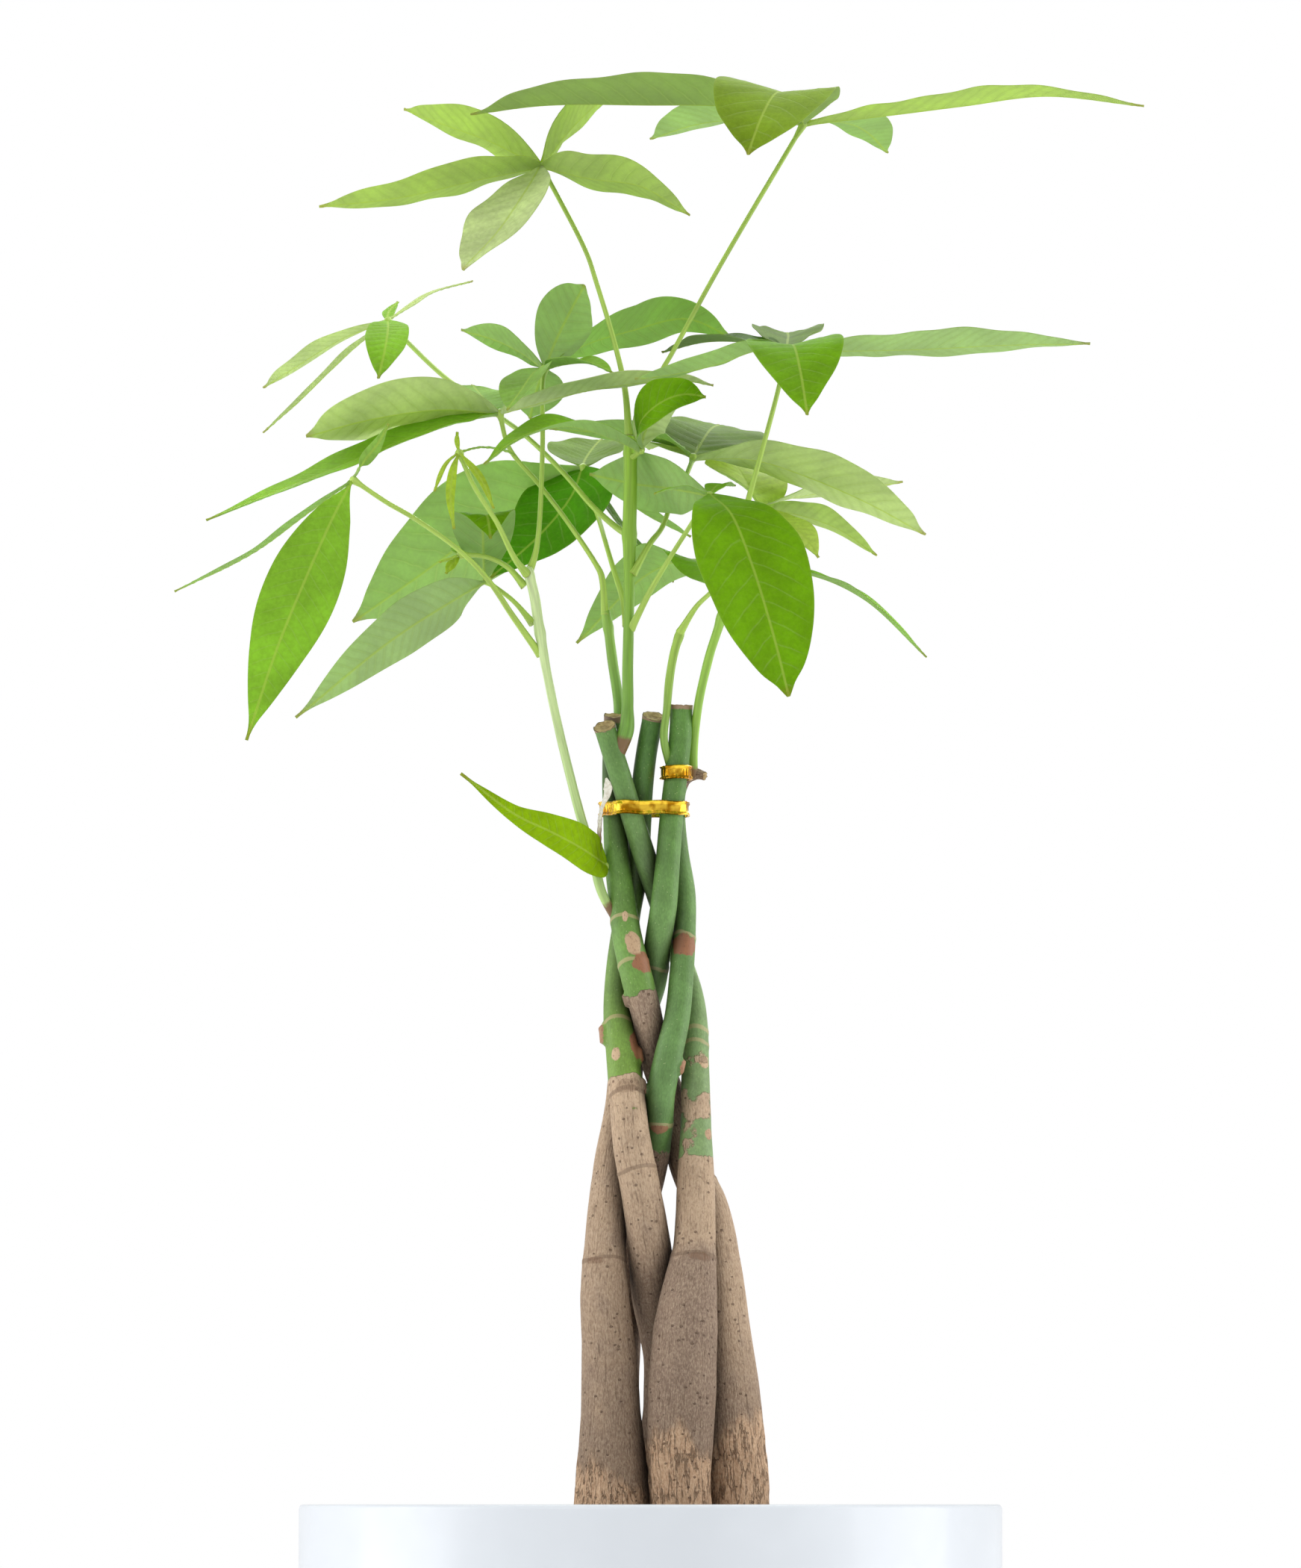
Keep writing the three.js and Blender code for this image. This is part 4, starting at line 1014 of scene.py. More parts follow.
# %% [markdown]
# ## The five green shoots
# Young shoots grew out of the cut stems. They are thin and smooth, swollen at the nodes where leaves
# stand, and a little brown at the foot. They use the same straight rod idea with fewer sides. With each
# go its greens, low and high on it, the heights of its nodes, and the height below which it is brown.

# %% Shoots
SHOOT_LOOKS = {
    "shoot_tall": ((104, 148, 58), (152, 192, 58), (411, 432), 360),
    "shoot_left": ((165, 195, 115), (205, 222, 165), (328, 386, 401), 318),
    "shoot_short": ((104, 150, 58), (144, 184, 76), (388,), 362),
    "shoot_middle": ((122, 160, 68), (158, 190, 78), (385,), 350),
    "shoot_right": ((136, 178, 64), (152, 194, 72), (389,), 353),
}
NODE_HALF_HEIGHT, NODE_SWELLING = 1.4, 0.22


def make_shoot(name, seed):
    low_green, high_green, nodes, brown_below = SHOOT_LOOKS[name]
    rows = SHOOTS[name]
    shoot = copy_of(shoot_form, name + "_fine")
    places = RodPlaces(shoot, rows, [r[3] for r in rows])
    height = places.spot[:, 2]
    knots = sum(bell(height - z, NODE_HALF_HEIGHT) for z in nodes)
    ribs = np.sin(places.turn * 5 + places.along * 0.02) * 0.03
    uneven = bumps(places.straightened() * (1, 1, 0.4), 2.5, seed) * 0.06
    relief = knots * NODE_SWELLING + ribs + uneven
    set_corners(shoot, places.carried(relief, places.domed(places.radius * 0.5)) * MM)
    keep_on_points(shoot, straight_place=places.straightened() + seed * 17,
                   green=blended_paint(low_green, high_green, ramp(height, rows[0][2], rows[-1][2])),
                   browned=np.clip((brown_below - height) / 4 + 0.3, 0, 1) + knots * 0.12)
    shoot.data.materials.append(shoot_skin)
    stand_in(shoot, name, 60)


for number, shoot_name in enumerate(SHOOTS):
    make_shoot(shoot_name, number + 11)

# %% [markdown]
# ## Paths of the leaves
# A leaf is a stalk and the ribs of its leaflets, all as places in millimetres. Each leaflet is given by
# its greatest width, the way its upper face looks, the angle its two halves fold up by, the name of its
# green, and the places its rib passes after the stalk's end. Where it is widest, as a share of its
# length, and how full its sides are, is given only where it isn't the usual. Young leaves are yellow, old
# ones deep green, and some greens are painted light and shade: pale ones for brightly lit leaflets and a
# darker one for leaflets in shade, so twelve greens are named.

# %% Greens of the leaves
# Painted light and shade: "pale" and "light" are greens lightened for brightly lit leaflets, "shaded" is
# darkened for leaflets in shade.
GREENS = {
    "pale": (210, 221, 172), "fresh": (190, 212, 74), "bright": (152, 198, 64), "lime": (130, 180, 22),
    "sunny": (158, 190, 20), "soft": (160, 198, 100), "silvery": (176, 204, 138), "deep": (95, 165, 22),
    "shaded": (92, 132, 38), "olive": (120, 152, 46), "mossy": (142, 170, 46), "light": (214, 232, 124),
}


# %% Leaf rows of the crown
def leaflet(width, face, fold, green, *rib, widest=0.5, full=0.95):
    return dict(width=width, face=face, fold=fold, green=green, rib=rib, widest=widest, full=full)


def leaf(stalk, *leaflets):
    return dict(stalk=stalk, leaflets=leaflets)


CROWN_LEAVES = {
    "leaf_crown_right": leaf(
        [(-4.5, -3.5, 432), (-2, -3, 441), (3, -1.5, 453.5), (5.5, -0.5, 458), (17.5, 4, 480.5),
         (39.5, 8, 518.5)],
        leaflet(28, (0, 0, 1), 26, "mossy", (21.5, 2, 522), (-2, -2, 522), (-27, -4, 521.5),
                (-46, -4, 519)),
        leaflet(31, (0.03, -0.45, 0.9), 10, "mossy", (36.5, -8, 522), (32, -24, 521.5), (27.5, -40, 512),
                (24.5, -45, 503)),
        leaflet(22, (0, 0, 1), 11, "fresh", (59, 4, 520), (80, 0, 522), (101, -3, 524), (126, -5, 521)),
        leaflet(20, (0, 0.2, 1), 14, "silvery", (25, 28, 522.5), (11.5, 42, 523), (0, 52, 520.5)),
        leaflet(15, (0, 0.2, 1), 12, "soft", (50, 30, 522), (57, 48, 521.5), (62, 60, 518)),
    ),
    "leaf_crown_left": leaf(
        [(-5.5, -3, 436.5), (-6.5, -2, 448.5), (-9, 0, 460), (-14, 2, 477), (-16.5, 3, 484.5),
         (-28, 5, 507)],
        leaflet(21, (-0.1, 0.5, 0.9), 10, "fresh", (-40.5, 10, 514), (-52, 16, 519), (-63.5, 22, 524),
                widest=0.42),
        leaflet(20, (-0.4, 0.6, 0.8), 10, "fresh", (-22, 14, 516.5), (-14, 26, 526), (-5, 38, 533.5),
                widest=0.4),
        leaflet(20, (0, 0.32, 0.95), 10, "fresh", (-44, 0, 503), (-63, -4, 498), (-84.5, -6, 495),
                widest=0.42, full=0.8),
        leaflet(21, (0, 0.42, 0.9), 10, "fresh", (-15.5, -2, 503), (-2, -8, 500), (10, -12, 492),
                widest=0.42),
        leaflet(22, (-0.3, -0.4, 0.8), 14, "pale", (-32.5, -8, 497.5), (-39, -18, 486.5),
                (-47.5, -24, 476.5), widest=0.56, full=0.75),
    ),
    "leaf_back_left": leaf(
        [(-5.5, -2, 411.5), (-8, 1, 413), (-14.5, 5, 419), (-22, 9, 428), (-31.5, 15, 438),
         (-42.5, 24, 447), (-53.5, 34, 456), (-64, 44, 467), (-68.5, 50, 472.5)],
        leaflet(11, (0.2, -0.1, 1), 10, "pale", (-80, 56, 469), (-92, 62, 462.5), (-101.5, 68, 457)),
        leaflet(6, (-0.7, 0.12, 0.7), 10, "pale", (-78, 44, 464), (-89, 36, 452), (-100, 30, 441)),
        leaflet(11.5, (0, -0.6, 0.8), 12, "bright", (-68, 38, 469), (-68.5, 26, 462), (-70, 20, 454)),
        leaflet(2.4, (0, 0, 1), 10, "pale", (-63, 60, 477.5), (-57, 70, 482.5), (-47, 80, 486.5)),
        leaflet(3.4, (0, 0.2, 1), 10, "bright", (-68.5, 62, 476), (-66.5, 76, 480.5)),
    ),
    "leaf_left_upper": leaf(
        [(-11.5, 0, 391), (-12.5, 0, 401), (-14, -1, 404), (-21, -1, 414.5), (-28.5, 0, 424.5),
         (-36, -2, 433.5), (-38.5, -4, 442.5)],
        leaflet(24, (0, 0.5, 0.87), 10, "pale", (-53.5, -8, 443), (-71.5, -11, 440), (-87.5, -12, 435.5),
                widest=0.52, full=0.8),
        leaflet(19, (-0.1, -0.3, 1), 10, "bright", (-51.5, -9, 439), (-80, -14, 427), (-112.5, -18, 413.5)),
        leaflet(15, (0, 0.12, 1), 10, "pale", (-32.5, -8.5, 443.5), (-21, -10.5, 446.5), (-6, -12, 449),
                (7.5, -12, 450), (16, -12, 448.5)),
        leaflet(13, (0, 0.3, 1), 10, "soft", (-42, 8, 446.5), (-44.5, 20, 450.5), (-46, 28, 453)),
    ),
}

# %% Leaf rows of the middle
MIDDLE_LEAVES = {
    "leaf_right_upper": leaf(
        [(21.5, -13, 405), (25, -17, 419.5), (28.5, -19, 432), (32.5, -21, 447), (34.5, -22, 456.5)],
        leaflet(25, (0, -0.55, 0.8), 12, "lime", (36, -34, 456), (37.5, -50, 447.5), (39, -62, 435.5),
                widest=0.4),
        leaflet(20, (0, 0.25, 1), 8, "silvery", (52.5, -18, 457), (70, -12, 458), (91, -8, 459.5),
                (112, -5, 460)),
        leaflet(20, (0, 0, 1), 22, "olive", (35, 0, 461), (35.5, 22, 465), (35.5, 40, 468)),
        leaflet(13, (0, -0.12, 1), 14, "shaded", (24.5, -6, 460.5), (13, 8, 462), (3, 14, 460)),
        leaflet(15, (0, 0.2, 1), 12, "soft", (27, -27, 456), (16.5, -30, 452), (6.5, -31, 449.5),
                (-4, -31, 448)),
    ),
    "leaf_centre_upper": leaf(
        [(-31, -3, 401.5), (-29.5, -4, 405.5), (-28.5, -4, 411.5), (-27.5, -4, 433.5), (-27.5, -3, 450),
         (-27, -2, 454)],
        leaflet(15.5, (-0.25, 0.9, 0.2), 6, "soft", (-24.5, 1, 461), (-20.5, 3.5, 469.5), (-17, 8, 476.5),
                widest=0.58, full=0.7),
        leaflet(13, (-0.2, 0.6, 0.8), 8, "soft", (-32.5, 3, 458.5), (-39.5, 8, 462.5), (-48.5, 12, 465.5)),
        leaflet(18, (0, 0.55, 0.83), 6, "bright", (-18, 12, 461.5), (-5, 20, 466.5), (9.5, 24, 470),
                (21, 24, 465)),
        leaflet(12, (0, -0.1, 1), 14, "bright", (-22, -8, 454.5), (-15.5, -14, 454), (-9.5, -18, 451)),
        leaflet(13, (-0.3, -0.3, 0.9), 20, "soft", (-29.5, -14, 451.5), (-33, -26, 445), (-36, -32, 440)),
        leaflet(15, (0, 0.95, 0.3), 8, "soft", (-28.5, 10, 452), (-30, 17, 448), (-31, 20, 443.5)),
    ),
    "leaf_shoot_tip": leaf(
        [(-5, -4, 431), (-4, -7, 431), (-2.5, -12, 432)],
        leaflet(17, (0, -0.2, 1), 14, "bright", (-9.5, -18, 434.5), (-21, -24, 437), (-32.5, -28, 433.5),
                (-42, -30, 426.5)),
        leaflet(14, (-0.5, -0.75, 0.5), 16, "lime", (-2.5, -20, 438), (2.5, -24, 442.5), (8, -25, 444.5),
                (14, -25, 444)),
        leaflet(10, (0.3, 0.7, 0.6), 8, "pale", (-0.5, -10, 438.5), (3.5, -7, 443.5), (9, -5, 446.5)),
    ),
    "leaf_centre_back": leaf(
        [(-6, -2, 388), (-7, 1, 395), (-9, 3, 401.5), (-11, 6, 408.5), (-13.5, 18, 418), (-16, 30, 425.5),
         (-17.5, 34, 432.5)],
        leaflet(35, (-0.35, 0.75, 0.55), 8, "soft", (-26, 36, 425.5), (-43.5, 38, 416.5), (-61, 38, 404),
                (-77, 36, 392.5)),
        leaflet(25, (-0.4, -0.85, 0.3), 8, "deep", (-20.5, 28, 424), (-29, 22, 413), (-41, 16, 402),
                widest=0.38),
        leaflet(14, (0, 0, 1), 12, "bright", (-10, 36, 427), (-0.5, 38, 420.5), (10.5, 40, 415)),
        leaflet(8, (0.5, -0.3, 0.8), 10, "shaded", (-14, 40, 426.5), (-6, 44, 416), (6, 44, 403.5)),
        leaflet(22, (0, 0.1, 1), 16, "olive", (-17, 50, 436), (-15, 68, 441), (-13, 84, 445)),
    ),
    "leaf_left_lower": leaf(
        [(-30, -4, 388.5), (-35, -1, 394.5), (-42, 2, 400)],
        leaflet(15.5, (-0.3, 0.8, 0.5), 8, "silvery", (-49.5, -4, 395), (-66.5, -8, 383.5), (-90, -10, 364),
                widest=0.55, full=1.1),
        leaflet(17, (0, -0.3, 0.95), 10, "lime", (-42.5, -2, 407.5), (-42.5, -8, 414.5), (-41.5, -13, 415),
                (-40.5, -16, 409)),
    ),
    "leaf_bud_left": leaf(
        [(-32, -3, 398), (-36.5, -3, 403), (-42, -4, 405.5), (-48.5, -4, 406)],
        leaflet(3, (0, 0, 1), 8, "fresh", (-51.5, -7, 404.5), (-53.5, -10, 403.5)),
        leaflet(3, (0, -0.5, 0.8), 8, "fresh", (-50.5, -5, 403.5), (-52, -6, 401)),
        leaflet(3, (0, 0.2, 1), 8, "bright", (-49.5, 0, 407.5), (-50, 4, 409)),
    ),
    "leaf_young_left": leaf(
        [(-31.5, -5, 401), (-34.5, -10, 404.5), (-39, -18, 413), (-44.5, -21, 421.5), (-48.5, -20, 430.5)],
        leaflet(1.6, (-0.5, -0.6, 0.6), 14, "fresh", (-51.5, -23, 427.5), (-53.5, -25, 423),
                (-54.5, -26, 420)),
        leaflet(2.6, (0.2, -0.9, 0.3), 18, "fresh", (-50, -26, 424.5), (-50.5, -29, 417.5),
                (-49.5, -30, 410)),
        leaflet(2.8, (0.4, -0.7, 0.5), 18, "fresh", (-45, -26, 426), (-42, -30, 421), (-39.5, -32, 415)),
        leaflet(1.4, (0, -0.9, 0.3), 18, "fresh", (-49, -18, 433.5), (-49, -16, 436)),
        leaflet(1.4, (0, 0, 1), 12, "bright", (-43, -18, 432), (-37, -15, 431.5), (-34.5, -13, 430.5)),
    ),
}

# %% Leaf rows of the lower part
LOWER_LEAVES = {
    "leaf_right_middle": leaf(
        [(-4.5, -4, 401), (-0.5, -2, 408.5), (3, 5, 414), (5.5, 10, 421), (8.5, 6, 426), (11, -4, 431)],
        leaflet(25, (0, 0.27, 0.96), 10, "pale", (26.5, 0, 431), (41.5, 4, 426.5), (57, 8, 420),
                (70.5, 14, 413)),
        leaflet(29, (0.2, 0.15, 1), 5, "olive", (14, 14, 438), (16, 34, 442.5), (18, 54, 445.5)),
        leaflet(13, (0, 0.4, 0.9), 8, "soft", (4.5, 4, 436.5), (-8, 12, 439), (-26, 16, 440.5)),
        leaflet(14, (-0.1, -0.1, 1), 14, "pale", (6.5, 10, 435), (2.5, 22, 437), (-0.5, 32, 437)),
    ),
    "leaf_front_hanging": leaf(
        [(-5, -4, 387), (0.5, -12, 397), (5.5, -16, 405), (10.5, -20, 412.5), (15, -22, 419.5)],
        leaflet(28.7, (0.25, -0.95, 0.3), 6, "lime", (20.5, -38, 412.5), (25.5, -46, 399), (30.5, -50, 382),
                (34.5, -50, 366), full=0.8),
        leaflet(18, (0.3, 0.85, 0.5), 8, "soft", (5.5, -10, 422.5), (-4.5, 7, 425.5), (-15.5, 14, 428.5)),
        leaflet(5, (0, 0, 1), 14, "bright", (10, -24, 420.5), (5.5, -27, 420.5), (1, -30, 419)),
        leaflet(6, (0, 0, 1), 14, "bright", (17, -10, 423), (21.5, 8, 425)),
    ),
    "leaf_right_lower": leaf(
        [(20.5, -10, 400.5), (23.5, -2, 411.5), (28.5, 4, 419)],
        leaflet(15, (0, 0.45, 0.9), 10, "pale", (36, 22, 423.5), (50, 42, 427.5), (65.5, 52, 430.5)),
        leaflet(14, (0, 0.4, 0.9), 10, "light", (39.5, 0, 416.5), (48.5, -4, 412.5), (57.5, -8, 405.5)),
        leaflet(10, (0, -0.2, 0.95), 12, "light", (33.5, -6, 414.5), (38.5, -14, 410), (42.5, -18, 404)),
        leaflet(22, (0, 0.6, 0.8), 10, "light", (25.5, 12, 424.5), (23, 26, 430.5), (20, 36, 435.5)),
    ),
    "leaf_behind": leaf(
        [(7.5, -6, 386), (11.5, -10, 392), (15, -16, 395), (16.5, -20, 396.5)],
        leaflet(19, (-0.3, 0.75, 0.6), 8, "bright", (10, 2, 405.5), (-2, 18, 402.5), (-19, 30, 386.5)),
        leaflet(8, (-0.2, -0.9, 0.3), 8, "fresh", (19.5, -24, 390), (25.5, -28, 382.5), (32.5, -30, 372.5),
                widest=0.7),
        leaflet(12, (0.1, -0.15, 1), 10, "bright", (30, -20, 400.5), (41.5, -18, 399.5), (54.5, -16, 393.5),
                (70, -14, 379), widest=0.72, full=0.8),
    ),
    "leaf_left_hanging": leaf(
        [(-28, -3, 380.5), (-35, -8, 390), (-41, -13, 398.5), (-48, -17, 405.5), (-60, -24, 413.5),
         (-66.5, -27, 417), (-75, -30, 422.5)],
        leaflet(19, (0.3, -0.9, 0.3), 6, "bright", (-79.5, -36, 413), (-86, -41, 397.5),
                (-93.5, -44, 378.5), (-101, -45, 355.5), widest=0.57, full=1.2),
        leaflet(6, (-0.3, 0.1, 1), 10, "soft", (-85, -29, 415.5), (-100, -28, 404.5), (-120, -27, 394.5)),
        leaflet(3.5, (0.6, -0.3, 0.6), 12, "soft", (-72.5, -32, 426.5), (-69, -32, 431), (-66, -31, 436.5)),
    ),
    "leaf_single_low": leaf(
        [(-8.6, 1.2, 325.4), (-9.8, 0.2, 326), (-11.2, -1.6, 326.8)],
        leaflet(13, (0.1, -0.9, 0.42), 10, "sunny", (-14.4, -6.6, 328.8), (-18.5, -11, 331.2),
                (-25.8, -15, 334.8), (-34.4, -18, 338.8), (-47.9, -20, 349), widest=0.3),
    ),
}
LEAVES = {**CROWN_LEAVES, **MIDDLE_LEAVES, **LOWER_LEAVES}
print("leaves", len(LEAVES), "leaflets", sum(len(row["leaflets"]) for row in LEAVES.values()))

# %% [markdown]
# ## One flat blade
# Every leaflet has the same make: a long oval sheet with a midrib. It is modelled once, flat, as a grid
# with closer rows beside the rib, and Solidify gives it two faces. The sheet is one unit wide to each
# side and one unit long, so a leaflet of any size can be made of a copy.

# %% The flat blade
flat_blade = add_primitive(bpy.ops.mesh.primitive_grid_add, "flat_blade", x_subdivisions=16,
                           y_subdivisions=64, size=2, location=(0, 0, 0))
sheet_places = corners_of(flat_blade)
sheet_places[:, 0] = np.sign(sheet_places[:, 0]) * np.abs(sheet_places[:, 0]) ** 1.4
sheet_places[:, 1] = (sheet_places[:, 1] + 1) / 2
set_corners(flat_blade, sheet_places)
thicken(flat_blade, 0.2, 0)
print("flat blade:", len(flat_blade.data.polygons), "faces")


# %% Where a blade's corners go on its rib
class BladePlaces:
    """Where each corner of a flat blade goes on its rib, in millimetres."""

    def __init__(self, blade, rib, face):
        flat = corners_of(blade)
        self.across = flat[:, 0]
        self.beside = np.abs(self.across)
        self.upper = flat[:, 2] > 0
        self.share = np.round(flat[:, 1], 5)
        spots, ways, row = levels_on(rib, self.share)
        face = Vector(face).normalized()
        rights = [way.cross(face).normalized() for way in ways]
        ups = [right.cross(way) for right, way in zip(rights, ways)]
        self.spot, self.right, self.up = (as_rows(column)[row] for column in (spots, rights, ups))
        run = run_along(as_rows(spots))
        self.length, self.along = run[-1], run[row]

    def bent(self, sideways, rise):
        """The corners on their rib, moved to its side and up from it."""
        return self.spot + self.right * sideways[:, None] + self.up * rise[:, None]


# %% [markdown]
# ## Bending a blade onto its rib
# The rib of each leaflet is a smooth path. At each place along it the blade lies across the rib, faces a
# given way and folds up a little towards its two sides. Its margin waves, and the tissue puffs up between
# the side veins. Near the foot the blade narrows into a short thick stalk of its own.

# %% Outline, veins and waves of a leaflet
TIP_AT, TIP_LENGTH, TIP_NARROWED_BY = 0.96, 0.035, 0.22
VEIN_SPACING_SHARE, CLOSEST_VEINS, WIDEST_VEINS = 0.19, 2.6, 6
FORWARD_LEAN, FORWARD_CURVE, OTHER_SIDE_SHIFT = 0.6, 0.022, 0.45
WAVES_PER_BLADE, WAVE_SHARE = 2.4, 0.035
RIPPLE_LENGTH, RIPPLE_HEIGHT, RIPPLES_FULL_FROM = 15, 0.2, 6


def half_width_share(along, widest, full):
    """The outline of a leaflet: narrow foot, its greatest width at the place named widest, drawn-out tip."""
    lean = math.log(0.5) / math.log(widest)
    oval = np.sin(np.pi * np.clip(along, 0, 1) ** lean) ** full
    return oval * (1 - TIP_NARROWED_BY * bell(along - TIP_AT, TIP_LENGTH))


def vein_places(places, from_rib, width, seed):
    """How many side veins have been passed at each corner, counted from the foot of the leaflet."""
    spacing = min(max(width * VEIN_SPACING_SHARE, CLOSEST_VEINS), WIDEST_VEINS)
    side_shift = np.where(places.across > 0, OTHER_SIDE_SHIFT, 0.0)
    reached = places.along - from_rib * FORWARD_LEAN - from_rib**2 * FORWARD_CURVE
    return reached / spacing + side_shift + seed * 0.37


def waves_of(places, half, seed):
    """The long wave of the whole blade and the short ripples of its margin."""
    wave_turns = places.share * WAVES_PER_BLADE * 2 * np.pi
    wave = WAVE_SHARE * half * np.sin(wave_turns - places.across) * places.beside
    ripple_turns = places.share * places.length / RIPPLE_LENGTH * 2 * np.pi
    ripple = RIPPLE_HEIGHT * places.beside**2.5 * np.sin(ripple_turns + seed * 2.1 + places.across)
    return wave + ripple * ramp(half, 0, RIPPLES_FULL_FROM)


# %% [markdown]
# A blade has two faces, closer together at its margin and further apart near its foot. Along the midrib
# the upper face is a little sunken, and the lower one stands out as a ridge.

# %% The two faces of a leaflet
HALF_THICKNESS, THINNER_AT_MARGIN, THICKER_AT_FOOT = 0.2, 0.1, 0.42
MIDRIB_HALF_WIDTH, MIDRIB_TAPER, FULL_MIDRIB_FROM = 0.6, 0.75, 16
MIDRIB_ABOVE, MIDRIB_BELOW = 0.12, 0.55


def faces_of(places, from_rib, width):
    """How far the two faces of a blade lie above and below its middle."""
    thick = HALF_THICKNESS - THINNER_AT_MARGIN * places.beside**2
    thick = thick + THICKER_AT_FOOT * np.exp(-places.share / 0.035)
    ridge = bell(from_rib, MIDRIB_HALF_WIDTH) * (1 - MIDRIB_TAPER * places.share)
    ridge = ridge * min(1.0, width / FULL_MIDRIB_FROM)
    return np.where(places.upper, thick - ridge * MIDRIB_ABOVE, -thick - ridge * MIDRIB_BELOW)


# %% Leaflets
LEAST_HALF_WIDTH, PUFF_HEIGHT = 0.4, 0.2
DRY_TIP_FROM, DRY_TIP_TO = 0.955, 0.985


def make_leaflet(name, row, stalk_end, seed):
    width, fold = row["width"], math.radians(row["fold"])
    blade = copy_of(flat_blade, name)
    places = BladePlaces(blade, [stalk_end, *row["rib"]], row["face"])
    outline = half_width_share(places.share, row["widest"], row["full"])
    half = np.maximum(width / 2 * outline, LEAST_HALF_WIDTH)
    sideways = places.across * half
    from_rib = np.abs(sideways)

    vein_count = vein_places(places, from_rib, width, seed)
    puffed = places.beside**0.5 * (1 - places.beside**3) * PUFF_HEIGHT
    puff = -np.cos(2 * np.pi * vein_count) * puffed
    folded = np.maximum(np.sqrt(from_rib**2 + 0.8) - 0.9**0.5, 0) * math.sin(fold)
    rise = folded + waves_of(places, half, seed) + puff + faces_of(places, from_rib, width)
    set_corners(blade, places.bent(sideways * math.cos(fold), rise) * MM)

    count = len(sideways)
    keep_on_points(blade, vein_count=vein_count, upper_face=places.upper, margin=places.beside,
                   blade_place=np.stack([sideways, places.along, np.full(count, seed * 9.7)], axis=1),
                   tip=ramp(places.share, DRY_TIP_FROM, DRY_TIP_TO),
                   green=np.tile(paint(*GREENS[row["green"]]), (count, 1)))
    blade.data.materials.append(leaf_skin)
    return blade


# %% [markdown]
# ## Whole leaves
# A leaf is a long thin stalk whose end swells into a hub, and leaflets that spread from it like fingers.
# The stalk is also a little swollen at its foot, where it can turn. All parts of a leaf are joined into
# one piece.

# %% Leaves
STALK_GREEN = (166, 196, 84)
STALK_RADII = (0.95, 0.8, 0.68, 0.62, 0.6, 0.6, 0.6)
FOOT_SWELLING, HUB_SWELLING, HUB_LENGTH = 0.25, 0.55, 1.6


def make_stalk(name, path, seed):
    stalk = copy_of(stalk_form, name)
    places = RodPlaces(stalk, path, STALK_RADII)
    foot = np.exp(-places.along / 2.2) * FOOT_SWELLING
    hub = bell(places.length - places.along, HUB_LENGTH) * HUB_SWELLING
    relief = foot + hub + np.sin(places.turn * 4) * 0.02
    set_corners(stalk, places.carried(relief, places.domed(0.9)) * MM)
    keep_on_points(stalk, straight_place=places.straightened() + seed * 13,
                   green=np.tile(paint(*STALK_GREEN), (len(places.along), 1)),
                   browned=np.exp(-places.along / 1.5) * 0.45)
    stalk.data.materials.append(shoot_skin)
    return stalk


def make_leaf(name, seed):
    stalk = LEAVES[name]["stalk"]
    parts = [make_stalk(name + "_stalk", stalk, seed)]
    for number, row in enumerate(LEAVES[name]["leaflets"]):
        parts.append(make_leaflet(f"{name}_leaflet_{number}", row, stalk[-1], seed + number * 0.61))
    stand_in(join_pieces(parts, name + "_fine"), name, 40)


for number, leaf_name in enumerate(LEAVES):
    make_leaf(leaf_name, number + 1)

# %% [markdown]
# ## Pot
# The pot is a plain glazed cylinder with straight sides. It is made as a potter would see it: a cylinder,
# a rim inset from its top, the inside pushed down, and every edge rounded. The foot is a ring with a
# shallow hollow.

# %% Pot
POT_RADIUS, POT_HEIGHT, POT_WALL, POT_FLOOR = 89, 165, 4.5, 6
FOOT_RING_WIDTH, FOOT_HOLLOW = 7, 2
# Each rounded ring: its height, the range its radius is in, the size of the rounding, and its segments.
ROUNDED_RINGS = [
    (POT_HEIGHT, 84, 90, 1.2, 5),
    (0, 88, 90, 2, 4),
    (POT_FLOOR, 84, 85, 4, 5),
    (0, 80, 83, 1, 2),
]


def sink_face(piece, wanted, inset, shift):
    """Inset the faces that are wanted and push them up or down, all in millimetres."""
    edit_faces(piece, wanted)
    bpy.ops.mesh.inset(thickness=inset * MM)
    bpy.ops.mesh.extrude_region_move(TRANSFORM_OT_translate={"value": (0, 0, shift * MM)})
    leave_edit()


def edge_ring(height, low, high):
    """A test for the edges of one level ring of the pot, by its height and the range of its radius."""
    def wanted(a, b):
        level = abs(a.z / MM - height) < 0.1 and abs(b.z / MM - height) < 0.1
        return level and low < a.xy.length / MM < high and low < b.xy.length / MM < high
    return wanted


pot = add_cylinder("pot_fine", 144, POT_RADIUS * MM, 0, POT_HEIGHT * MM)
sink_face(pot, lambda centre, normal: normal.z > 0.9, POT_WALL, POT_FLOOR - POT_HEIGHT)
sink_face(pot, lambda centre, normal: normal.z < -0.9, FOOT_RING_WIDTH, FOOT_HOLLOW)
for height, low, high, rounding, segments in ROUNDED_RINGS:
    edit_edges(pot, edge_ring(height, low, high))
    bpy.ops.mesh.bevel(offset=rounding * MM, segments=segments, affect="EDGES")
    leave_edit()
pot.data.materials.append(white_glaze)
stand_in(pot, "pot", 40)

# %% [markdown]
# ## Shielding the pot from the back light
# The light behind the plant is strong, so that the leaves glow, and it would bleach the back of the white
# pot. A photographer would hold a card in its way. Here the pot is left out of what that lamp lights,
# which a collection of receivers does, and the other lamps light it evenly all round.

# %% Pot kept out of the back light
shielded = bpy.data.collections.new("shielded_from_back_light")
shielded.objects.link(pot)
back_light.light_linking.receiver_collection = shielded
shielded.collection_objects[0].light_linking.link_state = "EXCLUDE"

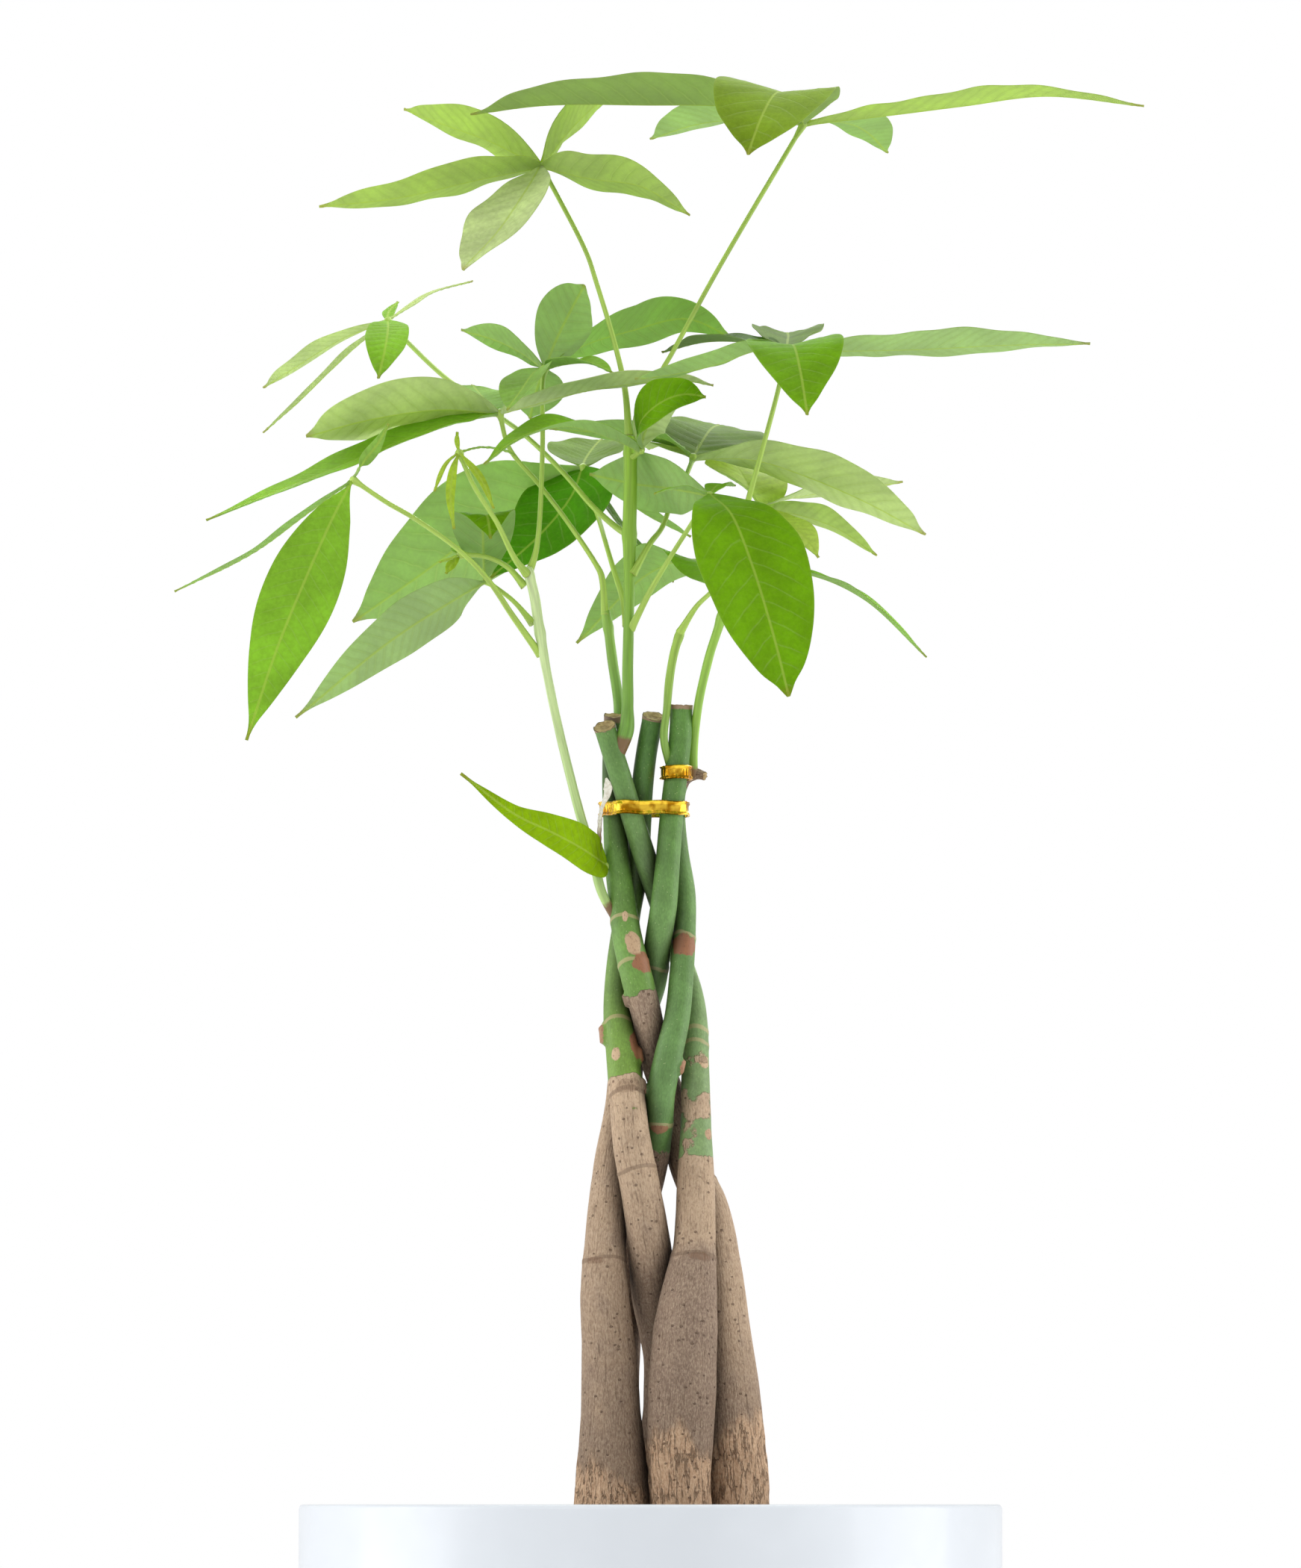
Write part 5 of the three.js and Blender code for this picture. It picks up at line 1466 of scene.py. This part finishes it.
# %% [markdown]
# ## Soil
# The soil fills the pot to two centimetres below the rim and rises a little towards the stems. Its top is
# inset into rings and raised unevenly.

# %% Soil body
SOIL_LEVEL = 145
SOIL_RADIUS, SOIL_BASE = 84.2, 6.3
SOIL_RINGS, SOIL_RING_WIDTH = 38, 2.15


def soil_height(x, y):
    middle = math.exp(-((x * x + y * y) / 34**2))
    slow = bump_pattern.noise(Vector((x / 14, y / 14, 3.3)))
    quick = bump_pattern.noise(Vector((x / 4, y / 4, 8.1)))
    return SOIL_LEVEL + 2.2 * middle + slow * 0.9 + quick * 0.5 - 0.4


soil = add_cylinder("soil_fine", 120, SOIL_RADIUS * MM, SOIL_BASE * MM, SOIL_LEVEL * MM)
edit_faces(soil, lambda centre, normal: normal.z > 0.9)
for _ in range(SOIL_RINGS):
    bpy.ops.mesh.inset(thickness=SOIL_RING_WIDTH * MM)
leave_edit()
soil_places = corners_of(soil) / MM
for place in soil_places:
    if place[2] > SOIL_LEVEL - 1:
        place[2] = soil_height(place[0], place[1])
set_corners(soil, soil_places * MM)
soil.data.materials.append(soil_mix)
print("soil body:", len(soil.data.polygons), "faces")

# %% [markdown]
# On the soil lie crumbs and chips of bark. Three forms are modelled once, two of soil and one of bark,
# and copies of them are turned, scaled and scattered from a fixed seed, then joined to the soil.

# %% Crumbs and chips of bark
CRUMB_SIZES = [(1.6, 1.4, 1.2), (2.6, 1.9, 1.2), (5.2, 2.6, 1.0)]
CRUMB_FINISHES = [soil_mix, soil_mix, bark_chip]
CRUMB_COUNT, CRUMB_REACH = 520, 80
rng = np.random.default_rng(7)


def crumb_form(number):
    form = add_primitive(bpy.ops.mesh.primitive_ico_sphere_add, f"crumb_form_{number}", subdivisions=2,
                         radius=1)
    lumpy = corners_of(form)
    lumpy = lumpy * (1 + 0.35 * bumps(lumpy, 0.8, number + 5)[:, None]) * CRUMB_SIZES[number]
    set_corners(form, lumpy)
    form.data.materials.append(CRUMB_FINISHES[number])
    return form


def scattered_crumb(number):
    """A crumb of the small form, the middle form or a chip, four, four and two times in ten."""
    crumb = copy_of(crumb_forms[number % 10 // 4], f"crumb_{number}")
    reach, turn = CRUMB_REACH * math.sqrt(rng.random()), rng.random() * 2 * math.pi
    x, y = reach * math.cos(turn), reach * math.sin(turn)
    spin = rng.random() * 2 * math.pi
    places = corners_of(crumb) * (0.6 + 0.8 * rng.random())
    tilt = (rng.random() - 0.5) * 0.6
    cos, sin = math.cos(spin), math.sin(spin)
    turned_x = places[:, 0] * cos - places[:, 1] * sin
    turned_y = places[:, 0] * sin + places[:, 1] * cos
    heights = places[:, 2] + turned_x * tilt + soil_height(x, y) + 0.3
    set_corners(crumb, np.stack([turned_x + x, turned_y + y, heights], axis=1) * MM)
    return crumb


crumb_forms = [crumb_form(number) for number in range(len(CRUMB_SIZES))]
crumbs = [scattered_crumb(number) for number in range(CRUMB_COUNT)]
soil = join_pieces([soil, *crumbs], "soil_fine")
for form in crumb_forms:
    bpy.data.objects.remove(form)
stand_in(soil, "soil", 60)

# %% [markdown]
# ## Gold ties
# Two strips of gold foil hold the braid: a long one round all five stems and a short one round a single
# stem. Such a tie is a flat ribbon with a wire pressed into it, pulled taut over the stems and crimped.
# First the line is found that such a ribbon takes round its stems.

# %% The line of a tie
TIES = {
    "tie_lower": {"stems": list(STEMS), "low": 339.5, "high": 343.2},
    "tie_upper": {"stems": ["stem_left"], "low": 348.6, "high": 352.3},
}


def stem_at(name, height):
    """Where a stem is, and how thick, at a height."""
    rows = STEMS[name]
    place = smooth_path(rows)
    shares = np.linspace(0, 1, 400)
    share = float(np.interp(height, [place(s).z for s in shares], shares))
    radius = np.interp(share * (len(rows) - 1), range(len(rows)), [r[3] for r in rows])
    return *place(share).xy, radius


def taut_loop(tie, stand_off, points):
    """A closed line pulled tight round the stems, as evenly spaced points with their outward directions."""
    held = np.array([stem_at(name, tie[key]) for key in ("low", "high") for name in tie["stems"]])
    turns = np.linspace(0, 2 * np.pi, 720, endpoint=False)
    ways = np.stack([np.cos(turns), np.sin(turns)], axis=1)
    reach = ways @ held[:, :2].T + held[:, 2]
    outermost = held[reach.argmax(axis=1)]
    line = outermost[:, :2] + ways * (outermost[:, 2:] + stand_off)
    closed = np.vstack([line, line[:1]])
    run = run_along(closed)
    even = np.linspace(0, run[-1], points, endpoint=False)
    spaced = np.stack([np.interp(even, run, closed[:, k]) for k in (0, 1)], axis=1)
    ahead, behind = np.roll(spaced, -1, axis=0), np.roll(spaced, 1, axis=0)
    tangent = (ahead - behind) / np.linalg.norm(ahead - behind, axis=1)[:, None]
    return spaced, np.stack([tangent[:, 1], -tangent[:, 0]], axis=1), run[-1]


# %% [markdown]
# The ribbon itself is an open ring of faces, made thick by Solidify and laid onto that line. Its crimps,
# fine creases and the two beads at its edges are added in code.

# %% Ties
AROUND, RIBBON_CUTS, STAND_OFF = 240, 13, 0.4
CRIMP_HEIGHT, CREASE_HEIGHT, BEAD_HEIGHT, SWAY = 0.32, 0.07, 0.42, 0.12


def make_tie(name, seed):
    tie = TIES[name]
    band = add_primitive(bpy.ops.mesh.primitive_cylinder_add, name + "_fine", vertices=AROUND, radius=1,
                         depth=2, end_fill_type="NOTHING", location=(0, 0, 0))
    cut_into_rings(band, RIBBON_CUTS)
    thicken(band, 0.2, 1)
    flat = corners_of(band)
    turn = np.arctan2(flat[:, 1], flat[:, 0]) % (2 * np.pi)
    spot = np.round(turn / (2 * np.pi) * AROUND).astype(int) % AROUND
    outer = np.hypot(flat[:, 0], flat[:, 1]) > 1.1
    level = flat[:, 2]
    line, outward, length = taut_loop(tie, STAND_OFF, AROUND)
    run = spot / AROUND * length
    crimp_places = np.stack([run, level * 2, np.full(len(run), seed * 4.0)], axis=1)
    crimps = np.abs(bumps(crimp_places * (1, 0.12, 1), 1.1, seed)) * CRIMP_HEIGHT
    creases = bumps(crimp_places * (1, 0.5, 1), 0.6, seed + 3) * CREASE_HEIGHT
    edge_bead = bell(np.abs(level) - 0.8, 0.16) * BEAD_HEIGHT
    stand = 0.12 + edge_bead + crimps + creases + np.where(outer, 0.22, 0.0)
    middle, half_height = (tie["low"] + tie["high"]) / 2, (tie["high"] - tie["low"]) / 2
    height = middle + level * half_height * 0.95 + SWAY * np.sin(run * 0.7 + seed)
    places = np.column_stack([line[spot] + outward[spot] * stand[:, None], height])
    set_corners(band, places * MM)
    band.data.materials.append(gold_foil)
    stand_in(band, name, 40)


for number, tie_name in enumerate(TIES):
    make_tie(tie_name, number + 1)

# %% [markdown]
# ## The tie's paper end
# One end of the tie has lost its foil. A small torn scrap of white paper hugs the stem on the left, and a
# thin brown sliver hangs below it. It is a copy of the flat blade with its own width along its length,
# bent on its own path and slightly crumpled.

# %% Paper end
TAIL_RIB = [(-11.2, -5, 349), (-10.8, -6, 345.5), (-12.4, -4.6, 341), (-13, -3.6, 336), (-12.6, -3, 329.5)]
TAIL_FACE = (-0.5, -1, 0)
TAIL_HALF_WIDTHS = [(0, 0.2), (0.1, 0.9), (0.2, 1.3), (0.3, 0.9), (0.42, 0.5), (0.75, 0.55), (1, 0.15)]
PAPER_HALF_THICKNESS = 0.12

tail = copy_of(flat_blade, "tie_tail_fine")
places = BladePlaces(tail, TAIL_RIB, TAIL_FACE)
sideways = places.across * read_off(TAIL_HALF_WIDTHS, places.share)
crumple = bumps(np.stack([sideways, places.share * 30, sideways * 0], axis=1), 1.6, 2) * 0.3
rise = crumple + np.where(places.upper, PAPER_HALF_THICKNESS, -PAPER_HALF_THICKNESS)
set_corners(tail, places.bent(sideways, rise) * MM)
# The lower end is browned. The darkening along the margins is a painted shadow at the scrap's edges.
keep_on_points(tail, browned=np.clip((places.share - 0.55) * 2.4, 0, 1) + places.beside**6 * 0.4)
tail.data.materials.append(tie_paper)
stand_in(tail, "tie_tail", 50)

# %% [markdown]
# ## Clearing up
# The straight forms were only patterns to copy, so they are removed.

# %% Finish
for form in (stem_form, shoot_form, stalk_form, flat_blade):
    bpy.data.objects.remove(form)
